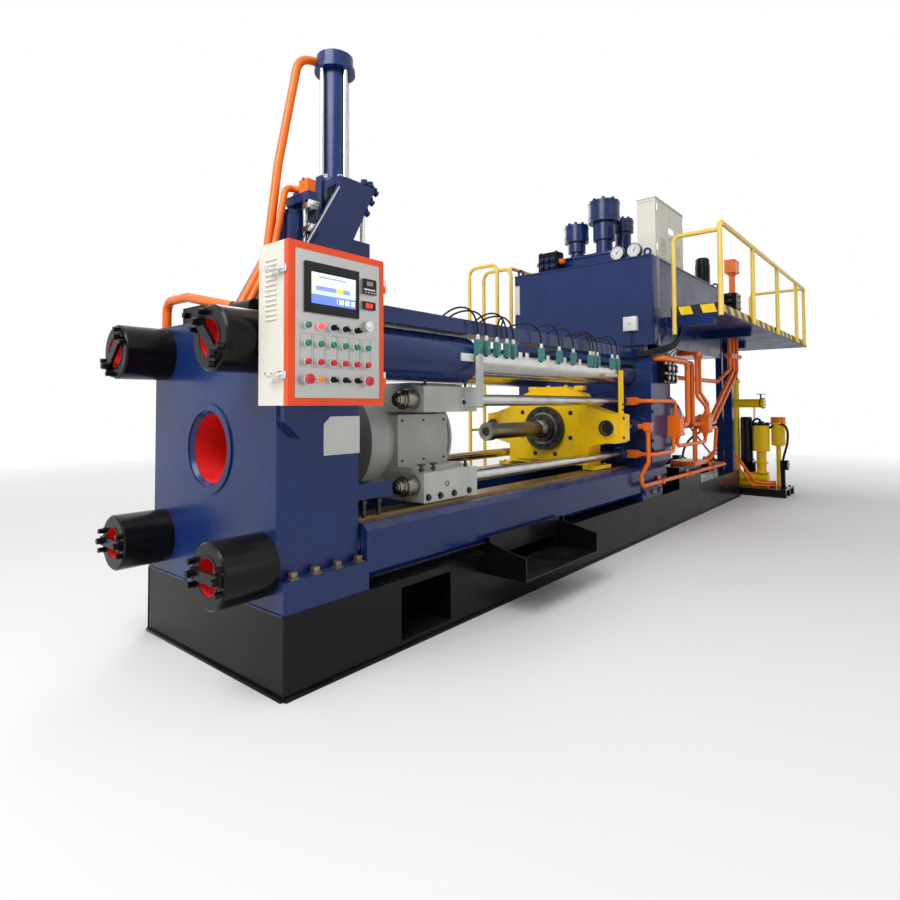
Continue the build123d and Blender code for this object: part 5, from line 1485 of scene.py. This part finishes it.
class PRESS_OT_set_stage(bpy.types.Operator):
    """Make the floor, the lights and the camera"""

    bl_idname = "press.set_stage"
    bl_label = "Set the stage"

    FOCAL_PIXELS = 591.24
    PICTURE_PIXELS = 900.0
    HORIZON_ROW = 386.42
    EYE = Vector((-4.934, -2.70, 1.20))
    YAW, PITCH, ROLL = 39.815, 1.87, -0.229
    LAMP_SIZE = 5.0
    LAMPS = (("key_light", (-7.5, -1.2, 6.5), (-0.5, 0.0, 0.9), 470.0),
             ("side_light", (-1.0, -8.0, 3.4), (0.0, 0.0, 1.0), 55.0),
             ("back_light", (3.0, 7.0, 6.0), (1.0, 0.0, 1.2), 210.0))
    FLOOR_COLOUR = (0.80, 0.80, 0.80, 1)
    FADE_START, FADE_END = 4.5, 12.0

    def execute(self, context):
        self.add_camera(context)
        self.add_floor(context)
        for name, place, target, power in self.LAMPS:
            self.add_light(context, name, Vector(place), Vector(target), power)
        self.set_world(context)
        context.scene.view_settings.view_transform = "Standard"
        return {"FINISHED"}

    def add_camera(self, context):
        yaw, pitch, roll = (math.radians(a) for a in (self.YAW, self.PITCH, self.ROLL))
        ahead = vec(math.cos(yaw) * math.cos(pitch), math.sin(yaw) * math.cos(pitch), math.sin(pitch))
        level_right = vec(math.sin(yaw), -math.cos(yaw), 0)
        level_up = level_right.cross(ahead)
        right = level_right * math.cos(roll) + level_up * math.sin(roll)
        up = level_up * math.cos(roll) - level_right * math.sin(roll)
        data = bpy.data.cameras.new("photo_camera")
        data.sensor_width = 36.0
        data.lens = 36.0 * self.FOCAL_PIXELS / self.PICTURE_PIXELS
        data.shift_y = (self.HORIZON_ROW - self.PICTURE_PIXELS / 2) / self.PICTURE_PIXELS
        data.clip_end = 200.0
        camera = bpy.data.objects.new("photo_camera", data)
        turn = Matrix((right, up, -ahead)).transposed().to_4x4()
        camera.matrix_world = Matrix.Translation(self.EYE) @ turn
        context.scene.collection.objects.link(camera)
        context.scene.camera = camera

    def add_floor(self, context):
        bm = bmesh.new()
        bmesh.ops.create_grid(bm, x_segments=8, y_segments=8, size=30.0)
        mesh = bpy.data.meshes.new("studio_floor")
        bm.to_mesh(mesh)
        bm.free()
        floor = bpy.data.objects.new("studio_floor", mesh)
        context.scene.collection.objects.link(floor)
        material = bpy.data.materials.new("studio_floor")
        material.use_nodes = True
        material.node_tree.nodes.clear()
        sheet = Sheet(material.node_tree)
        pale = sheet.add("ShaderNodeBsdfPrincipled")
        pale.inputs["Base Color"].default_value = self.FLOOR_COLOUR
        pale.inputs["Roughness"].default_value = 0.7
        white = sheet.add("ShaderNodeEmission")
        white.inputs["Strength"].default_value = 1.0
        place = sheet.add("ShaderNodeTexCoord").outputs["Object"]
        away = sheet.add("ShaderNodeVectorMath", operation="LENGTH", in_0=place).outputs["Value"]
        fade = sheet.ramp(away, self.FADE_START, self.FADE_END)
        factor = sheet.math("MULTIPLY", fade, self.seen_rays(sheet))
        mixed = sheet.add("ShaderNodeMixShader", in_0=factor)
        sheet.feed(pale.outputs[0], mixed.inputs[1])
        sheet.feed(white.outputs[0], mixed.inputs[2])
        out = sheet.add("ShaderNodeOutputMaterial")
        sheet.feed(mixed.outputs[0], out.inputs[0])
        mesh.materials.append(material)

    def seen_rays(self, sheet):
        """One for a camera, glossy or transmission ray, which meets a white background."""
        path = sheet.add("ShaderNodeLightPath")
        seen = sheet.math("ADD", path.outputs["Is Camera Ray"], path.outputs["Is Glossy Ray"])
        return sheet.math("ADD", seen, path.outputs["Is Transmission Ray"], clamp=True)

    def add_light(self, context, name, place, target, power):
        data = bpy.data.lights.new(name, "AREA")
        data.shape = "DISK"
        data.size = self.LAMP_SIZE
        data.energy = power
        light = bpy.data.objects.new(name, data)
        light.matrix_world = turned(place, place - target)
        context.scene.collection.objects.link(light)

    def set_world(self, context):
        world = bpy.data.worlds.new("studio")
        context.scene.world = world
        world.use_nodes = True
        world.node_tree.nodes.clear()
        sheet = Sheet(world.node_tree)
        direction = sheet.add("ShaderNodeTexCoord").outputs["Generated"]
        axes = sheet.add("ShaderNodeSeparateXYZ", in_0=direction)
        above = sheet.ramp(axes.outputs[2], -0.2, 0.9)
        ahead = sheet.ramp(axes.outputs[0], 0.8, -0.9)
        glow = sheet.math("ADD", sheet.math("MULTIPLY", above, 0.45), sheet.math("MULTIPLY", ahead, 0.35))
        glow = sheet.math("ADD", glow, 0.05)
        soft = sheet.add("ShaderNodeBackground", in_0=(1, 1, 1, 1))
        sheet.feed(glow, soft.inputs["Strength"])
        white = sheet.add("ShaderNodeBackground", in_0=(1, 1, 1, 1))
        white.inputs["Strength"].default_value = 1.0
        mixed = sheet.add("ShaderNodeMixShader", in_0=self.seen_rays(sheet))
        sheet.feed(soft.outputs[0], mixed.inputs[1])
        sheet.feed(white.outputs[0], mixed.inputs[2])
        out = sheet.add("ShaderNodeOutputWorld")
        sheet.feed(mixed.outputs[0], out.inputs[0])


class PRESS_PT_sidebar(bpy.types.Panel):
    """Buttons for the press's pieces"""

    bl_label = "Extrusion press"
    bl_idname = "PRESS_PT_sidebar"
    bl_space_type = "VIEW_3D"
    bl_region_type = "UI"
    bl_category = "Press"

    def draw(self, context):
        column = self.layout.column()
        for step in STEPS:
            column.operator(step.bl_idname)
        for group in (context.scene.press_finishes, context.scene.press_sizes):
            for name in group.__annotations__:
                column.prop(group, name)


STEPS = (
    PRESS_OT_finish_frame,
    PRESS_OT_add_nut_fittings,
    PRESS_OT_add_front_fittings,
    PRESS_OT_add_panel_face,
    PRESS_OT_add_shear_fittings,
    PRESS_OT_add_container_fittings,
    PRESS_OT_add_crosshead_fittings,
    PRESS_OT_add_switch_fittings,
    PRESS_OT_add_tank_fittings,
    PRESS_OT_add_rear_fittings,
    PRESS_OT_add_pipe_fittings,
    PRESS_OT_add_deck_fittings,
    PRESS_OT_add_pump_fittings,
    PRESS_OT_set_stage,
)


def register():
    for kind in (PressFinishes, PressSizes, PRESS_PT_sidebar) + STEPS:
        bpy.utils.register_class(kind)
    bpy.types.Scene.press_finishes = bpy.props.PointerProperty(type=PressFinishes)
    bpy.types.Scene.press_sizes = bpy.props.PointerProperty(type=PressSizes)


def unregister():
    del bpy.types.Scene.press_sizes
    del bpy.types.Scene.press_finishes
    for kind in reversed((PressFinishes, PressSizes, PRESS_PT_sidebar) + STEPS):
        bpy.utils.unregister_class(kind)


def main():
    register()
    for step in STEPS:
        area, name = step.bl_idname.split(".")
        getattr(getattr(bpy.ops, area), name)()


if __name__ == "__main__":
    main()
